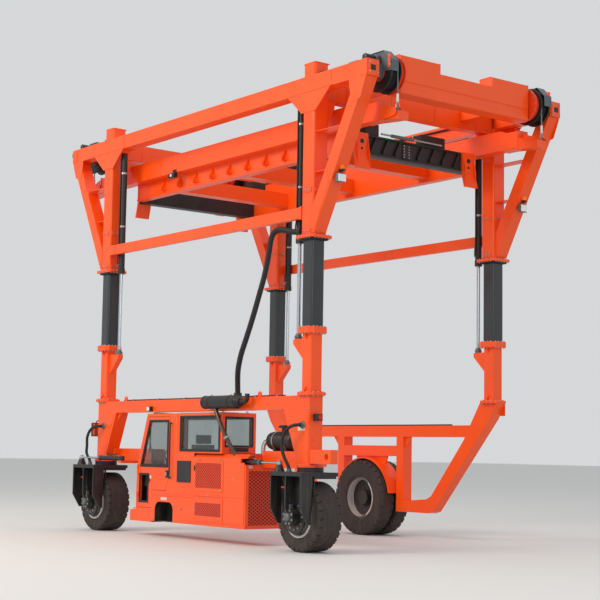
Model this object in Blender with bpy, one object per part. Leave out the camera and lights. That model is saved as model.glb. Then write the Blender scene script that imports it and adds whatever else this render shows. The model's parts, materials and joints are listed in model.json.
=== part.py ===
"""Straddle carrier: a three-wheeled gantry machine on telescopic legs.

Metres. +X is forward (the cab end), +Y is the driver's side, +Z is up.
The origin is on the ground at the centre of the leg rectangle.
"""

import math

import bmesh
import bpy
from mathutils import Matrix, Vector

# ---------------------------------------------------------------- driving dimensions
WHEELBASE = 5.772            # front leg to rear leg
TRACK = 3.692                # driver's side legs to far side legs
GAP = 0.0003                 # gap where two pieces touch
BORE_GAP = 0.0006            # radial gap of a shaft in its bore

# legs
FRAME_TOP = 2.225            # top of both chassis frames
FLANGE = 0.36                # side of the bolted leg flanges
FLANGE_T = 0.045
FLANGE_CUT = 0.07            # chamfer of a flange's corners
COLUMN = 0.21                # lower column, square
COLUMN_H = 0.85
MAST = 0.235                 # telescopic mast, square
MAST_R = 0.035
MAST_H = 2.20
ROD_OFFSET = 0.33            # lift cylinder's distance from the leg, towards mid machine
ROD_R = 0.030
ROD_H = 2.25
BRACKET_T = 0.10
BRACKET_H = 0.36
BARREL_R = 0.055
BARREL_WALL = 0.012

# upper frame
SLEEVE = 0.27
SLEEVE_WALL = 0.011
SLEEVE_FOOT = 4.50           # underside of the sleeve's flange
SLEEVE_FLANGE = 0.42
SLEEVE_FLANGE_T = 0.04
BEAM_FOOT = 6.66             # underside of the top beams
BEAM_H = 0.24
BEAM_HALF_LENGTH = 4.20
BRACE_DEPTH = 0.22           # depth across the machine, also the top beam's
BRACE_REACH = 4.165          # outer end of the V brace at the top beam
BRACE_WIDTH = 0.22
GUSSET_T = 0.05
CAP = 0.27
CAP_H = 0.20
MID_BEAM_Z = 4.80
MID_BEAM_H = 0.17
MID_BEAM_T = 0.08
CROSS_Z = 6.56
CROSS_H = 0.29
CROSS_W = 0.20

# winches
WINCH_X = 4.033              # drum axis from mid machine
WINCH_Z = 6.78
DRUM_R = 0.2298
DRUM_FLANGE_R = 0.285
DRUM_FLANGE_T = 0.018
DRUM_HALF_W = 0.125
SHAFT_R = 0.040
ROPE_Y = 1.478
ROPE_R = 0.0107
ROPE_FOOT = 6.205
SOCKET_R = 0.020
WINCH_BEAM_W = 0.26
WINCH_BEAM_Z = 6.52
WINCH_BEAM_H = 0.41
WINCH_WALL = 0.012
WINCH_REAR = 4.14            # outer face of the winch beam
WINCH_HALF_LENGTH = 1.325
COVER_RAISE = 0.145
COVER_STEP = 0.527

# spreader for a 20 foot box
SPREADER_BEAM_Y = 1.42
SPREADER_BEAM_W = 0.20
SPREADER_BEAM_Z = 6.15
SPREADER_BEAM_H = 0.31
SPREADER_REACH = 4.33
SPREADER_TAPER = 3.55
SIDE_PLATE_IN = 1.22
SIDE_PLATE_T = 0.13
SIDE_PLATE_Z = 5.86
SIDE_PLATE_X = 2.90
END_BEAM_X = 3.02
END_BEAM_W = 0.16
END_BEAM_Z = 5.84
END_BEAM_H = 0.32
GUIDE_W = 0.27
GUIDE_T = 0.05
GUIDE_Z = 5.60
GUIDE_FLARE = 0.07

# driver's side frame
FRAME_DEPTH = 0.24
FRAME_BEAM_H = 0.195
POST_OUT = 0.11              # post edge on the outer side of the leg line
POST_TOP_IN = 0.50
POST_FOOT_IN = 0.15
POST_FOOT_Z = 1.225
FOOT_FLANGE_R = 0.20
FOOT_FLANGE_T = 0.030
ARM_IN = 1.45                # carrier arm's inner face
ARM_W = 0.27
ARM_Z = 1.17
ARM_H = 0.25
STUB_L = 0.48
STUB_Z = 1.25
STUB_H = 0.20
STUB_HOLE_R = 0.045

# steered wheels
TYRE_R = 0.50
TYRE_W = 0.42
RIM_R = 0.30
HUB_BORE = 0.065
RING_R = 0.19
RING_H = 0.065
FORK_PLATE_T = 0.055
FORK_HALF_W = 0.36
FORK_IN = 0.22
FORK_ARM_T = 0.205
FORK_ARM_PLATE = 0.035
FORK_RIB_T = 0.025
FORK_ARM_Y = 0.245
FORK_FOOT_R = 0.24
BOSS_X = 0.38
BOSS_Y = 0.27
BOSS_R = 0.045
BOSS_H = 0.10
STEER_ROD_R = 0.022
STEER_EYE_R = 0.045
STEER_BARREL_R = 0.038
STEER_STROKE = 0.25
STEER_HELD = 0.28            # rod's length inside the barrel at rest
STEER_OUT = 0.62             # rod eye to barrel mouth at rest
STEER_FRONT_BACK = 0.986     # front base pin, from the fork's axis towards mid machine
STEER_REAR_IN = 0.35         # rear base pin, ahead of the engine housing's rear face
STEER_REAR_WALL = 0.15       # and inside its outer face

# cab and engine module
EXHAUST_R = 0.036
MODULE_IN = 1.36             # inner face of the module, towards the load
MODULE_OUT = 2.00            # outer face of the cab wall
CAB_WALL = 0.04
CAB_FOOT = 0.42
CAB_STEP_Z = 0.70
CAB_ROOF = 2.00
CAB_FRONT = 1.60
CAB_ROOF_FRONT = 1.30
CAB_WAIST = 1.12
CAB_STEP_X = 1.10
CAB_REAR_FOOT = -0.12
CAB_REAR = -0.88
HOOD_Z = 1.365
ENGINE_REAR = -1.55
ENGINE_OUT = 2.02
ENGINE_WALL = 0.03
ENGINE_CHAMFER = 0.09
PAN_Z = 0.25
STEP_R = 0.13
SLOT_IN = 1.815              # slot for the steering cylinder, open at the engine's rear corner
SLOT_L = 0.14                # how far the slot runs on round the corner
SLOT_H = 0.09
GLASS_T = 0.008
DOOR_T = 0.04
DOOR_GAP = 0.006
KNUCKLE_R = 0.012
KNUCKLE_H = 0.08

# far side frame
FAR_DEPTH = 0.20
UPPER_CHORD_Z = 1.69
UPPER_CHORD_H = 0.19
SECOND_CHORD_Z = 1.36
SECOND_CHORD_H = 0.18
LOWER_CHORD_Z = 0.43
LOWER_CHORD_H = 0.19
FAR_POST_X = 0.70
FAR_POST_W = 0.17
ARCH_R = 0.675
ARCH_T = 0.02
HANGER_T = 0.030
FAR_TYRE_R = 0.64
FAR_TYRE_W = 0.275
FAR_RIM_R = 0.35
FAR_GAP = 0.035              # each tyre's inner wall from the hanger's middle
AXLE_R = 0.055

# ---------------------------------------------------------------- derived places
HX = WHEELBASE / 2
HY = TRACK / 2
FAR_Y = -HY
COLUMN_Z = FRAME_TOP + GAP
MAST_Z = COLUMN_Z + COLUMN_H + 3 * FLANGE_T
BEAM_OUT = HY + SLEEVE / 2
FORK_OUT = HY + FORK_ARM_Y + FORK_ARM_T
FAR_WHEEL_Y = FAR_Y + 0.036  # middle of the dual wheel
CENTRE_Y = (FORK_OUT + FAR_WHEEL_Y - FAR_GAP - FAR_TYRE_W) / 2
SIDES = {"driver": 1, "far": -1}
ENDS = {"front": 1, "rear": -1}

COLOURS = {
    "orange": ((0.85, 0.14, 0.01), 0.35, 0.0),
    "mast_grey": ((0.035, 0.04, 0.045), 0.4, 0.3),
    "chrome": ((0.75, 0.76, 0.78), 0.12, 1.0),
    "black": ((0.012, 0.012, 0.013), 0.5, 0.0),
    "rubber": ((0.02, 0.019, 0.018), 0.85, 0.0),
    "rim_grey": ((0.55, 0.52, 0.5), 0.4, 0.4),
    "glass": ((0.2, 0.22, 0.22), 0.05, 0.0),
    "iron": ((0.1, 0.1, 0.1), 0.6, 0.4),
}


# ---------------------------------------------------------------- tools
def place_machine():
    """Put every piece under one empty, so that the machine's box is centred on the origin."""
    machine = bpy.data.objects.new("machine", None)
    machine.location = (0, -CENTRE_Y, 0)
    bpy.context.scene.collection.objects.link(machine)
    for obj in bpy.context.scene.objects:
        if obj is not machine:
            obj.parent = machine


def clear_scene():
    for obj in list(bpy.data.objects):
        bpy.data.objects.remove(obj, do_unlink=True)


def material(name):
    found = bpy.data.materials.get(name)
    if found:
        return found
    colour, roughness, metallic = COLOURS[name]
    mat = bpy.data.materials.new(name)
    mat.use_nodes = True
    shader = mat.node_tree.nodes["Principled BSDF"]
    shader.inputs["Base Color"].default_value = (*colour, 1.0)
    shader.inputs["Roughness"].default_value = roughness
    shader.inputs["Metallic"].default_value = metallic
    return mat


def finish(bm, name, colour, origin=(0, 0, 0), smooth=False):
    """Make an object of a bmesh given in machine coordinates, with its origin at a point."""
    bmesh.ops.remove_doubles(bm, verts=bm.verts, dist=1e-6)
    bmesh.ops.recalc_face_normals(bm, faces=bm.faces)
    bmesh.ops.translate(bm, verts=bm.verts, vec=-Vector(origin))
    mesh = bpy.data.meshes.new(name)
    bm.to_mesh(mesh)
    bm.free()
    obj = bpy.data.objects.new(name, mesh)
    obj.location = origin
    bpy.context.scene.collection.objects.link(obj)
    mesh.materials.append(material(colour))
    if smooth:
        mesh.shade_smooth()
        mesh.set_sharp_from_angle(angle=math.radians(35))
    return obj


def box_mesh(low, high):
    bm = bmesh.new()
    size = Vector(high) - Vector(low)
    centre = (Vector(high) + Vector(low)) / 2
    place = Matrix.Translation(centre) @ Matrix.Diagonal((*size, 1.0))
    bmesh.ops.create_cube(bm, size=1.0, matrix=place)
    return bm


def prism_mesh(outline, low, high, axis="Y"):
    """Extrude a closed outline along an axis, from low to high.

    The outline's pairs are (x, z) for axis Y, (y, z) for axis X and (x, y) for axis Z.
    """
    bm = bmesh.new()
    makers = {
        "Y": lambda a, b: (a, low, b),
        "X": lambda a, b: (low, a, b),
        "Z": lambda a, b: (a, b, low),
    }
    shift = {"Y": (0, high - low, 0), "X": (high - low, 0, 0), "Z": (0, 0, high - low)}
    verts = [bm.verts.new(makers[axis](a, b)) for a, b in outline]
    face = bm.faces.new(verts)
    pushed = bmesh.ops.extrude_face_region(bm, geom=[face])
    moved = [item for item in pushed["geom"] if isinstance(item, bmesh.types.BMVert)]
    bmesh.ops.translate(bm, verts=moved, vec=shift[axis])
    return bm


def turned_mesh(profile, centre, axis="Z", segments=32):
    """Turn a closed profile of (radius, height) pairs about an axis through a centre."""
    bm = bmesh.new()
    verts = [bm.verts.new((radius, 0, height)) for radius, height in profile]
    edges = [bm.edges.new((verts[i], verts[i - 1])) for i in range(len(verts))]
    bmesh.ops.spin(
        bm,
        geom=verts + edges,
        cent=(0, 0, 0),
        axis=(0, 0, 1),
        angle=2 * math.pi,
        steps=segments,
        use_merge=True,
    )
    bmesh.ops.remove_doubles(bm, verts=bm.verts, dist=1e-6)
    turns = {
        "Z": Matrix.Identity(4),
        "X": Matrix.Rotation(math.pi / 2, 4, "Y"),
        "Y": Matrix.Rotation(-math.pi / 2, 4, "X"),
    }
    bmesh.ops.transform(bm, matrix=Matrix.Translation(centre) @ turns[axis], verts=bm.verts)
    return bm


def rod_mesh(start, end, radius, segments=16):
    """A round bar between two points."""
    run = Vector(end) - Vector(start)
    turn = run.to_track_quat("Z", "Y").to_matrix().to_4x4()
    bm = bmesh.new()
    bmesh.ops.create_cone(
        bm,
        cap_ends=True,
        segments=segments,
        radius1=radius,
        radius2=radius,
        depth=run.length,
        matrix=Matrix.Translation((Vector(start) + Vector(end)) / 2) @ turn,
    )
    return bm


def rounded_square(side, radius, centre=(0, 0), steps=4):
    """Outline of a square with round corners."""
    points = []
    half = side / 2 - radius
    for quarter in range(4):
        base = quarter * math.pi / 2
        corner = base + math.pi / 4
        cx = math.copysign(half, math.cos(corner)) + centre[0]
        cy = math.copysign(half, math.sin(corner)) + centre[1]
        for step in range(steps + 1):
            angle = base + step * math.pi / 2 / steps
            points.append((cx + radius * math.cos(angle), cy + radius * math.sin(angle)))
    return points


def chamfered_square(side, cut, centre=(0, 0)):
    """Outline of a square plate with its corners cut off."""
    half = side / 2
    inner = half - cut
    pairs = ((half, -inner), (half, inner), (inner, half), (-inner, half))
    pairs += ((-half, inner), (-half, -inner), (-inner, -half), (inner, -half))
    return [(centre[0] + a, centre[1] + b) for a, b in pairs]


def arc(centre, radius, start, end, steps):
    """Points on an arc, angles in degrees."""
    points = []
    for step in range(steps + 1):
        angle = math.radians(start + (end - start) * step / steps)
        points.append((centre[0] + radius * math.cos(angle), centre[1] + radius * math.sin(angle)))
    return points


def apply_boolean(target, bm, operation):
    """Join a bmesh to an object, or cut it away, and keep the result as the object's mesh."""
    bmesh.ops.recalc_face_normals(bm, faces=bm.faces)
    bmesh.ops.translate(bm, verts=bm.verts, vec=-target.location)
    mesh = bpy.data.meshes.new("tool")
    bm.to_mesh(mesh)
    bm.free()
    tool = bpy.data.objects.new("tool", mesh)
    tool.location = target.location
    bpy.context.scene.collection.objects.link(tool)
    modifier = target.modifiers.new("boolean", "BOOLEAN")
    modifier.operation = operation
    modifier.solver = "EXACT"
    modifier.object = tool
    bpy.context.view_layer.update()
    graph = bpy.context.evaluated_depsgraph_get()
    result = bpy.data.meshes.new_from_object(target.evaluated_get(graph))
    target.modifiers.clear()
    old = target.data
    target.data = result
    bpy.data.meshes.remove(old)
    bpy.data.objects.remove(tool, do_unlink=True)
    bpy.data.meshes.remove(mesh)


def weld(target, *meshes):
    for bm in meshes:
        apply_boolean(target, bm, "UNION")
    return target


def cut(target, *meshes):
    for bm in meshes:
        apply_boolean(target, bm, "DIFFERENCE")
    return target


def box(name, low, high, colour, origin=(0, 0, 0)):
    return finish(box_mesh(low, high), name, colour, origin)


# ---------------------------------------------------------------- legs
def leg_profile_bracket(x, y, inward):
    """Triangular bracket that carries the lift cylinder's rod, beside the column."""
    top = COLUMN_Z + FLANGE_T + COLUMN_H - 0.07
    face = x + inward * (COLUMN / 2 - 0.01)
    reach = x + inward * (ROD_OFFSET + 0.06)
    outline = [(face, top - BRACKET_H), (reach, top - 0.07), (reach, top), (face, top)]
    return prism_mesh(outline, y - BRACKET_T / 2, y + BRACKET_T / 2), top


def build_leg(side, end):
    """One leg: foot flange, lower column with bracket, mast flanges and the grey mast."""
    x = ENDS[end] * HX
    y = SIDES[side] * HY
    inward = -ENDS[end]
    name = f"leg_{side}_{end}"
    plate = chamfered_square(FLANGE, FLANGE_CUT, (x, y))
    column = chamfered_square(COLUMN, 0.012, (x, y))
    mast = rounded_square(MAST, MAST_R, (x, y))
    foot = COLUMN_Z
    head = foot + FLANGE_T + COLUMN_H
    leg = finish(prism_mesh(plate, foot, foot + FLANGE_T, "Z"), name, "orange")
    bracket, seat = leg_profile_bracket(x, y, inward)
    weld(
        leg,
        prism_mesh(column, foot + FLANGE_T / 2, head + FLANGE_T / 2, "Z"),
        prism_mesh(plate, head, MAST_Z, "Z"),
        bracket,
        prism_mesh(mast, MAST_Z - FLANGE_T / 2, MAST_Z + MAST_H, "Z"),
    )
    return leg, seat


def build_lift_cylinder(side, end, seat):
    """Inverted lift cylinder: the rod stands on the column's bracket, the barrel rides up."""
    x = ENDS[end] * (HX - ROD_OFFSET)
    y = SIDES[side] * HY
    foot = seat + GAP
    rod_profile = [
        (0, foot),
        (ROD_R + 0.022, foot),
        (ROD_R + 0.022, foot + 0.07),
        (ROD_R, foot + 0.085),
        (ROD_R, foot + ROD_H),
        (0, foot + ROD_H),
    ]
    finish(turned_mesh(rod_profile, (x, y, 0), segments=16), f"lift_rod_{side}_{end}", "chrome", smooth=True)
    low = SLEEVE_FOOT - 0.03
    high = BEAM_FOOT - 0.05
    bore = BARREL_R - BARREL_WALL
    gland = ROD_R + 2 * GAP
    barrel_profile = [
        (gland, low),
        (BARREL_R + 0.008, low),
        (BARREL_R + 0.008, low + 0.09),
        (BARREL_R, low + 0.10),
        (BARREL_R, high),
        (0, high),
        (0, high - 0.04),
        (bore, high - 0.04),
        (bore, low + 0.07),
        (gland, low + 0.07),
    ]
    barrel = turned_mesh(barrel_profile, (x, y, 0), segments=16)
    finish(barrel, f"lift_barrel_{side}_{end}", "black", smooth=True)


# ---------------------------------------------------------------- upper frame
def build_corner_frame(side, end):
    """A leg's sleeve with its flange, outward V brace and gusset plate, one welded piece."""
    sx = ENDS[end]
    sy = SIDES[side]
    x = sx * HX
    y = sy * HY
    top = BEAM_FOOT - GAP
    name = f"corner_frame_{side}_{end}"
    sleeve = rounded_square(SLEEVE, MAST_R, (x, y))
    bore = rounded_square(SLEEVE - 2 * SLEEVE_WALL, MAST_R, (x, y))
    frame = finish(prism_mesh(sleeve, SLEEVE_FOOT + SLEEVE_FLANGE_T / 2, top, "Z"), name, "orange")
    face = HX + SLEEVE / 2
    foot = SLEEVE_FOOT + SLEEVE_FLANGE_T
    slope = (BRACE_REACH - face - 0.03) / (top - foot - 0.02)
    inner_start = foot + (BRACE_WIDTH / slope)
    brace = [
        (face - 0.02, foot + 0.02),
        (face + 0.03, foot + 0.02),
        (BRACE_REACH, top),
        (BRACE_REACH - BRACE_WIDTH, top),
        (face, inner_start),
        (face - 0.02, inner_start - 0.02),
    ]
    outer = sy * (HY + SLEEVE / 2)
    inner = sy * (HY + SLEEVE / 2 - BRACE_DEPTH)
    plate_in = sy * (HY + SLEEVE / 2 - GUSSET_T)
    low_y, high_y = sorted((outer, inner))
    gusset = [(-0.44, top), (0.44, top), (0.14, top - 0.26), (-0.14, top - 0.26)]
    plate_low, plate_high = sorted((outer, plate_in))
    lug_in = x - sx * (SLEEVE / 2 - 0.01)
    lug_out = x - sx * (ROD_OFFSET + 0.07)
    lug_low = BEAM_FOOT - 0.05 + GAP
    flange = chamfered_square(SLEEVE_FLANGE, 0.05, (x, y))
    weld(
        frame,
        prism_mesh(flange, SLEEVE_FOOT, foot, "Z"),
        prism_mesh([(sx * a, b) for a, b in brace], low_y, high_y),
        prism_mesh([(x + a, b) for a, b in gusset], plate_low, plate_high),
        box_mesh(
            (min(lug_in, lug_out), y - 0.07, lug_low),
            (max(lug_in, lug_out), y + 0.07, top),
        ),
    )
    cut(frame, prism_mesh(bore, SLEEVE_FOOT - 0.1, top + 0.1, "Z"))
    return frame


def build_top_beam(side):
    """Top beam over both legs, with the leg caps and the winch bearings at its ends."""
    sy = SIDES[side]
    outer = sy * BEAM_OUT
    inner = sy * (BEAM_OUT - BRACE_DEPTH)
    low_y, high_y = sorted((outer, inner))
    top = BEAM_FOOT + BEAM_H
    beam = box(
        f"top_beam_{side}",
        (-BEAM_HALF_LENGTH, low_y, BEAM_FOOT),
        (BEAM_HALF_LENGTH, high_y, top),
        "orange",
    )
    bearing = sy * (ROPE_Y + DRUM_HALF_W + DRUM_FLANGE_T + 0.012)
    for sx in ENDS.values():
        cap = chamfered_square(CAP, 0.03, (sx * HX, sy * (BEAM_OUT - CAP / 2)))
        weld(beam, prism_mesh(cap, top - 0.02, top + CAP_H, "Z"))
        low_b, high_b = sorted((bearing, inner + sy * 0.02))
        weld(
            beam,
            box_mesh((sx * WINCH_X - 0.10, low_b, WINCH_Z - 0.10), (sx * WINCH_X + 0.10, high_b, WINCH_Z + 0.10)),
        )
        deep = bearing + sy * 0.10
        cut(
            beam,
            rod_mesh(
                (sx * WINCH_X, bearing - sy * 0.05, WINCH_Z),
                (sx * WINCH_X, deep, WINCH_Z),
                SHAFT_R + BORE_GAP,
                48,
            ),
        )
    return beam


def build_mid_beam(side):
    sy = SIDES[side]
    outer = sy * BEAM_OUT
    low_y, high_y = sorted((outer, outer - sy * MID_BEAM_T))
    end = HX - SLEEVE / 2 - GAP
    return box(f"mid_beam_{side}", (-end, low_y, MID_BEAM_Z), (end, high_y, MID_BEAM_Z + MID_BEAM_H), "orange")


def build_cross_beam(end):
    x = ENDS[end] * HX
    reach = HY - SLEEVE / 2 - GAP
    return box(
        f"cross_beam_{end}",
        (x - CROSS_W / 2, -reach, CROSS_Z),
        (x + CROSS_W / 2, reach, CROSS_Z + CROSS_H),
        "orange",
    )


def build_winch_beam(end):
    """Hollow winch beam across the machine; the drums' shaft runs inside it."""
    sx = ENDS[end]
    low_x, high_x = sorted((sx * WINCH_REAR, sx * (WINCH_REAR - WINCH_BEAM_W)))
    top = WINCH_BEAM_Z + WINCH_BEAM_H
    beam = box(
        f"winch_beam_{end}",
        (low_x, -WINCH_HALF_LENGTH, WINCH_BEAM_Z),
        (high_x, WINCH_HALF_LENGTH, top),
        "orange",
    )
    for sy in SIDES.values():
        low_y, high_y = sorted((sy * COVER_STEP, sy * WINCH_HALF_LENGTH))
        weld(beam, box_mesh((low_x, low_y, top - 0.02), (high_x, high_y, top + COVER_RAISE)))
        strut_low, strut_high = sorted((sy * 1.0, sy * 1.2))
        strut_in, strut_out = sorted((sx * (HX + CROSS_W / 2 + GAP), sx * (WINCH_REAR - WINCH_BEAM_W + 0.005)))
        weld(beam, box_mesh((strut_in, strut_low, CROSS_Z + 0.11), (strut_out, strut_high, CROSS_Z + 0.28)))
    cut(
        beam,
        box_mesh(
            (low_x + WINCH_WALL, -WINCH_HALF_LENGTH - 0.1, WINCH_BEAM_Z + WINCH_WALL),
            (high_x - WINCH_WALL, WINCH_HALF_LENGTH + 0.1, top - WINCH_WALL),
        ),
    )
    return beam


def build_drums(end):
    """Both cable drums of a winch on their common shaft."""
    inner = ROPE_Y - DRUM_HALF_W
    outer = ROPE_Y + DRUM_HALF_W
    flange = DRUM_FLANGE_T
    tip = outer + flange + 0.09
    half = [
        (SHAFT_R, inner - flange),
        (DRUM_FLANGE_R, inner - flange),
        (DRUM_FLANGE_R, inner),
        (DRUM_R, inner),
        (DRUM_R, outer),
        (DRUM_FLANGE_R, outer),
        (DRUM_FLANGE_R, outer + flange),
        (SHAFT_R, outer + flange),
        (SHAFT_R, tip),
        (0, tip),
    ]
    profile = [(r, -h) for r, h in reversed(half)] + half
    centre = (ENDS[end] * WINCH_X, 0, WINCH_Z)
    drums = turned_mesh(profile, centre, "Y", 48)
    return finish(drums, f"winch_drums_{end}", "black", centre, smooth=True)


def build_rope(side, end):
    """Hoist rope from the drum down to the spreader's lug, with its swaged socket."""
    x = ENDS[end] * (WINCH_X + DRUM_R + GAP + ROPE_R)
    y = SIDES[side] * ROPE_Y
    profile = [
        (0, ROPE_FOOT),
        (ROPE_R, ROPE_FOOT),
        (ROPE_R, ROPE_FOOT + 0.13),
        (SOCKET_R, ROPE_FOOT + 0.135),
        (SOCKET_R, ROPE_FOOT + 0.255),
        (ROPE_R, ROPE_FOOT + 0.26),
        (ROPE_R, WINCH_Z),
        (0, WINCH_Z),
    ]
    return finish(turned_mesh(profile, (x, y, 0), segments=12), f"hoist_rope_{side}_{end}", "iron", smooth=True)


# ---------------------------------------------------------------- spreader
def build_spreader():
    """Spreader frame: two long beams out to the rope lugs, side plates and cross members."""
    top = SPREADER_BEAM_Z + SPREADER_BEAM_H
    reach = SPREADER_REACH
    taper = SPREADER_TAPER
    outline = [
        (-reach, ROPE_FOOT - 0.12),
        (-reach, ROPE_FOOT - GAP),
        (-reach + 0.16, ROPE_FOOT - GAP),
        (-taper, top),
        (taper, top),
        (reach - 0.16, ROPE_FOOT - GAP),
        (reach, ROPE_FOOT - GAP),
        (reach, ROPE_FOOT - 0.12),
        (taper, SPREADER_BEAM_Z),
        (-taper, SPREADER_BEAM_Z),
    ]
    frame = None
    half = SPREADER_BEAM_W / 2
    for sy in SIDES.values():
        low_y, high_y = sorted((sy * (SPREADER_BEAM_Y - half), sy * (SPREADER_BEAM_Y + half)))
        beam = prism_mesh(outline, low_y, high_y)
        if frame is None:
            frame = finish(beam, "spreader_frame", "orange")
        else:
            weld(frame, beam)
        plate_low, plate_high = sorted((sy * SIDE_PLATE_IN, sy * (SIDE_PLATE_IN + SIDE_PLATE_T)))
        weld(
            frame,
            box_mesh((-SIDE_PLATE_X, plate_low, SIDE_PLATE_Z), (SIDE_PLATE_X, plate_high, SPREADER_BEAM_Z + 0.03)),
        )
    for x in (-1.9, 0.0, 1.9):
        weld(
            frame,
            box_mesh(
                (x - 0.12, -SIDE_PLATE_IN - 0.02, SIDE_PLATE_Z + 0.06),
                (x + 0.12, SIDE_PLATE_IN + 0.02, SPREADER_BEAM_Z + 0.02),
            ),
        )
    return frame


def build_spreader_end(end):
    """Black end beam of the spreader with a corner guide at each end."""
    sx = ENDS[end]
    reach = SIDE_PLATE_IN - GAP
    low_x, high_x = sorted((sx * (END_BEAM_X - END_BEAM_W), sx * END_BEAM_X))
    beam = box(
        f"spreader_end_{end}",
        (low_x, -reach, END_BEAM_Z),
        (high_x, reach, END_BEAM_Z + END_BEAM_H),
        "black",
    )
    for sy in SIDES.values():
        low_y, high_y = sorted((sy * (reach - GUIDE_W + 0.03), sy * (reach + 0.03)))
        outline = [
            (sx * (END_BEAM_X - 0.02), END_BEAM_Z + END_BEAM_H),
            (sx * (END_BEAM_X + GUIDE_T), END_BEAM_Z + END_BEAM_H),
            (sx * (END_BEAM_X + GUIDE_T), END_BEAM_Z),
            (sx * (END_BEAM_X + GUIDE_T + GUIDE_FLARE), GUIDE_Z),
            (sx * (END_BEAM_X + GUIDE_FLARE), GUIDE_Z),
            (sx * (END_BEAM_X + 0.01), END_BEAM_Z),
            (sx * (END_BEAM_X - 0.02), END_BEAM_Z),
        ]
        weld(beam, prism_mesh(outline, low_y, high_y))
    return beam


# ---------------------------------------------------------------- driver's side frame
def fork_levels():
    """Heights of the slewing ring's top, the fork plate's top and the boss's top."""
    ring_top = POST_FOOT_Z - FOOT_FLANGE_T - GAP
    plate_top = ring_top - RING_H
    return ring_top, plate_top, plate_top + BOSS_H


def steer_points(end):
    """Base pin, barrel mouth and rod eye of a steering cylinder at rest."""
    height = fork_levels()[2] + GAP + STEER_ROD_R
    eye = Vector((ENDS[end] * HX + BOSS_X, HY + BOSS_Y, height))
    if end == "front":
        base = Vector((HX - STEER_FRONT_BACK, HY + BOSS_Y, height))
    else:
        base = Vector((ENGINE_REAR + STEER_REAR_IN, ENGINE_OUT - STEER_REAR_WALL, height))
    run = (base - eye).normalized()
    return base, eye + run * STEER_OUT, eye


def build_driver_frame():
    """Portal frame over the two steered wheels, with the arms that carry the module."""
    low_y = HY - FRAME_DEPTH / 2
    high_y = HY + FRAME_DEPTH / 2
    under = FRAME_TOP - FRAME_BEAM_H
    out = HX + POST_OUT
    outline = [
        (out, POST_FOOT_Z),
        (out, FRAME_TOP),
        (-out, FRAME_TOP),
        (-out, POST_FOOT_Z),
        (-HX + POST_FOOT_IN, POST_FOOT_Z),
        (-HX + POST_TOP_IN, under),
        (HX - POST_TOP_IN, under),
        (HX - POST_FOOT_IN, POST_FOOT_Z),
    ]
    frame = finish(prism_mesh(outline, low_y, high_y), "driver_side_frame", "orange")
    foot = [
        (0, POST_FOOT_Z - FOOT_FLANGE_T),
        (FOOT_FLANGE_R, POST_FOOT_Z - FOOT_FLANGE_T),
        (FOOT_FLANGE_R, POST_FOOT_Z + 0.005),
        (0, POST_FOOT_Z + 0.005),
    ]
    for sx in ENDS.values():
        weld(frame, turned_mesh(foot, (sx * HX, HY, 0), segments=32))
    arm_end = HX - RING_R - 0.03
    for near, far in ((CAB_FRONT + GAP, arm_end), (-arm_end, ENGINE_REAR - GAP)):
        weld(frame, box_mesh((near, ARM_IN, ARM_Z), (far, ARM_IN + ARM_W, ARM_Z + ARM_H)))
    for sx in ENDS.values():
        near, far = sorted((sx * (arm_end - 0.06), sx * (HX - POST_FOOT_IN + 0.03)))
        weld(frame, box_mesh((near, ARM_IN + 0.002, POST_FOOT_Z - 0.02), (far, HY, ARM_Z + ARM_H - 0.002)))
    base = steer_points("front")[0]
    seat = base.z - STEER_BARREL_R - GAP
    bracket = (base.x - 0.05, ARM_IN + ARM_W - 0.02, seat - 0.04)
    weld(frame, box_mesh(bracket, (base.x + 0.05, base.y + 0.05, seat)))
    stub_y = HY + FRAME_DEPTH / 2
    stub = (-out - STUB_L, stub_y - 0.14, STUB_Z)
    weld(frame, box_mesh(stub, (-out + 0.02, stub_y - 0.01, STUB_Z + STUB_H)))
    cut(
        frame,
        rod_mesh(
            (-out - STUB_L + 0.10, stub_y - 0.3, STUB_Z + STUB_H / 2),
            (-out - STUB_L + 0.10, stub_y + 0.1, STUB_Z + STUB_H / 2),
            STUB_HOLE_R,
            24,
        ),
    )
    return frame


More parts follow.
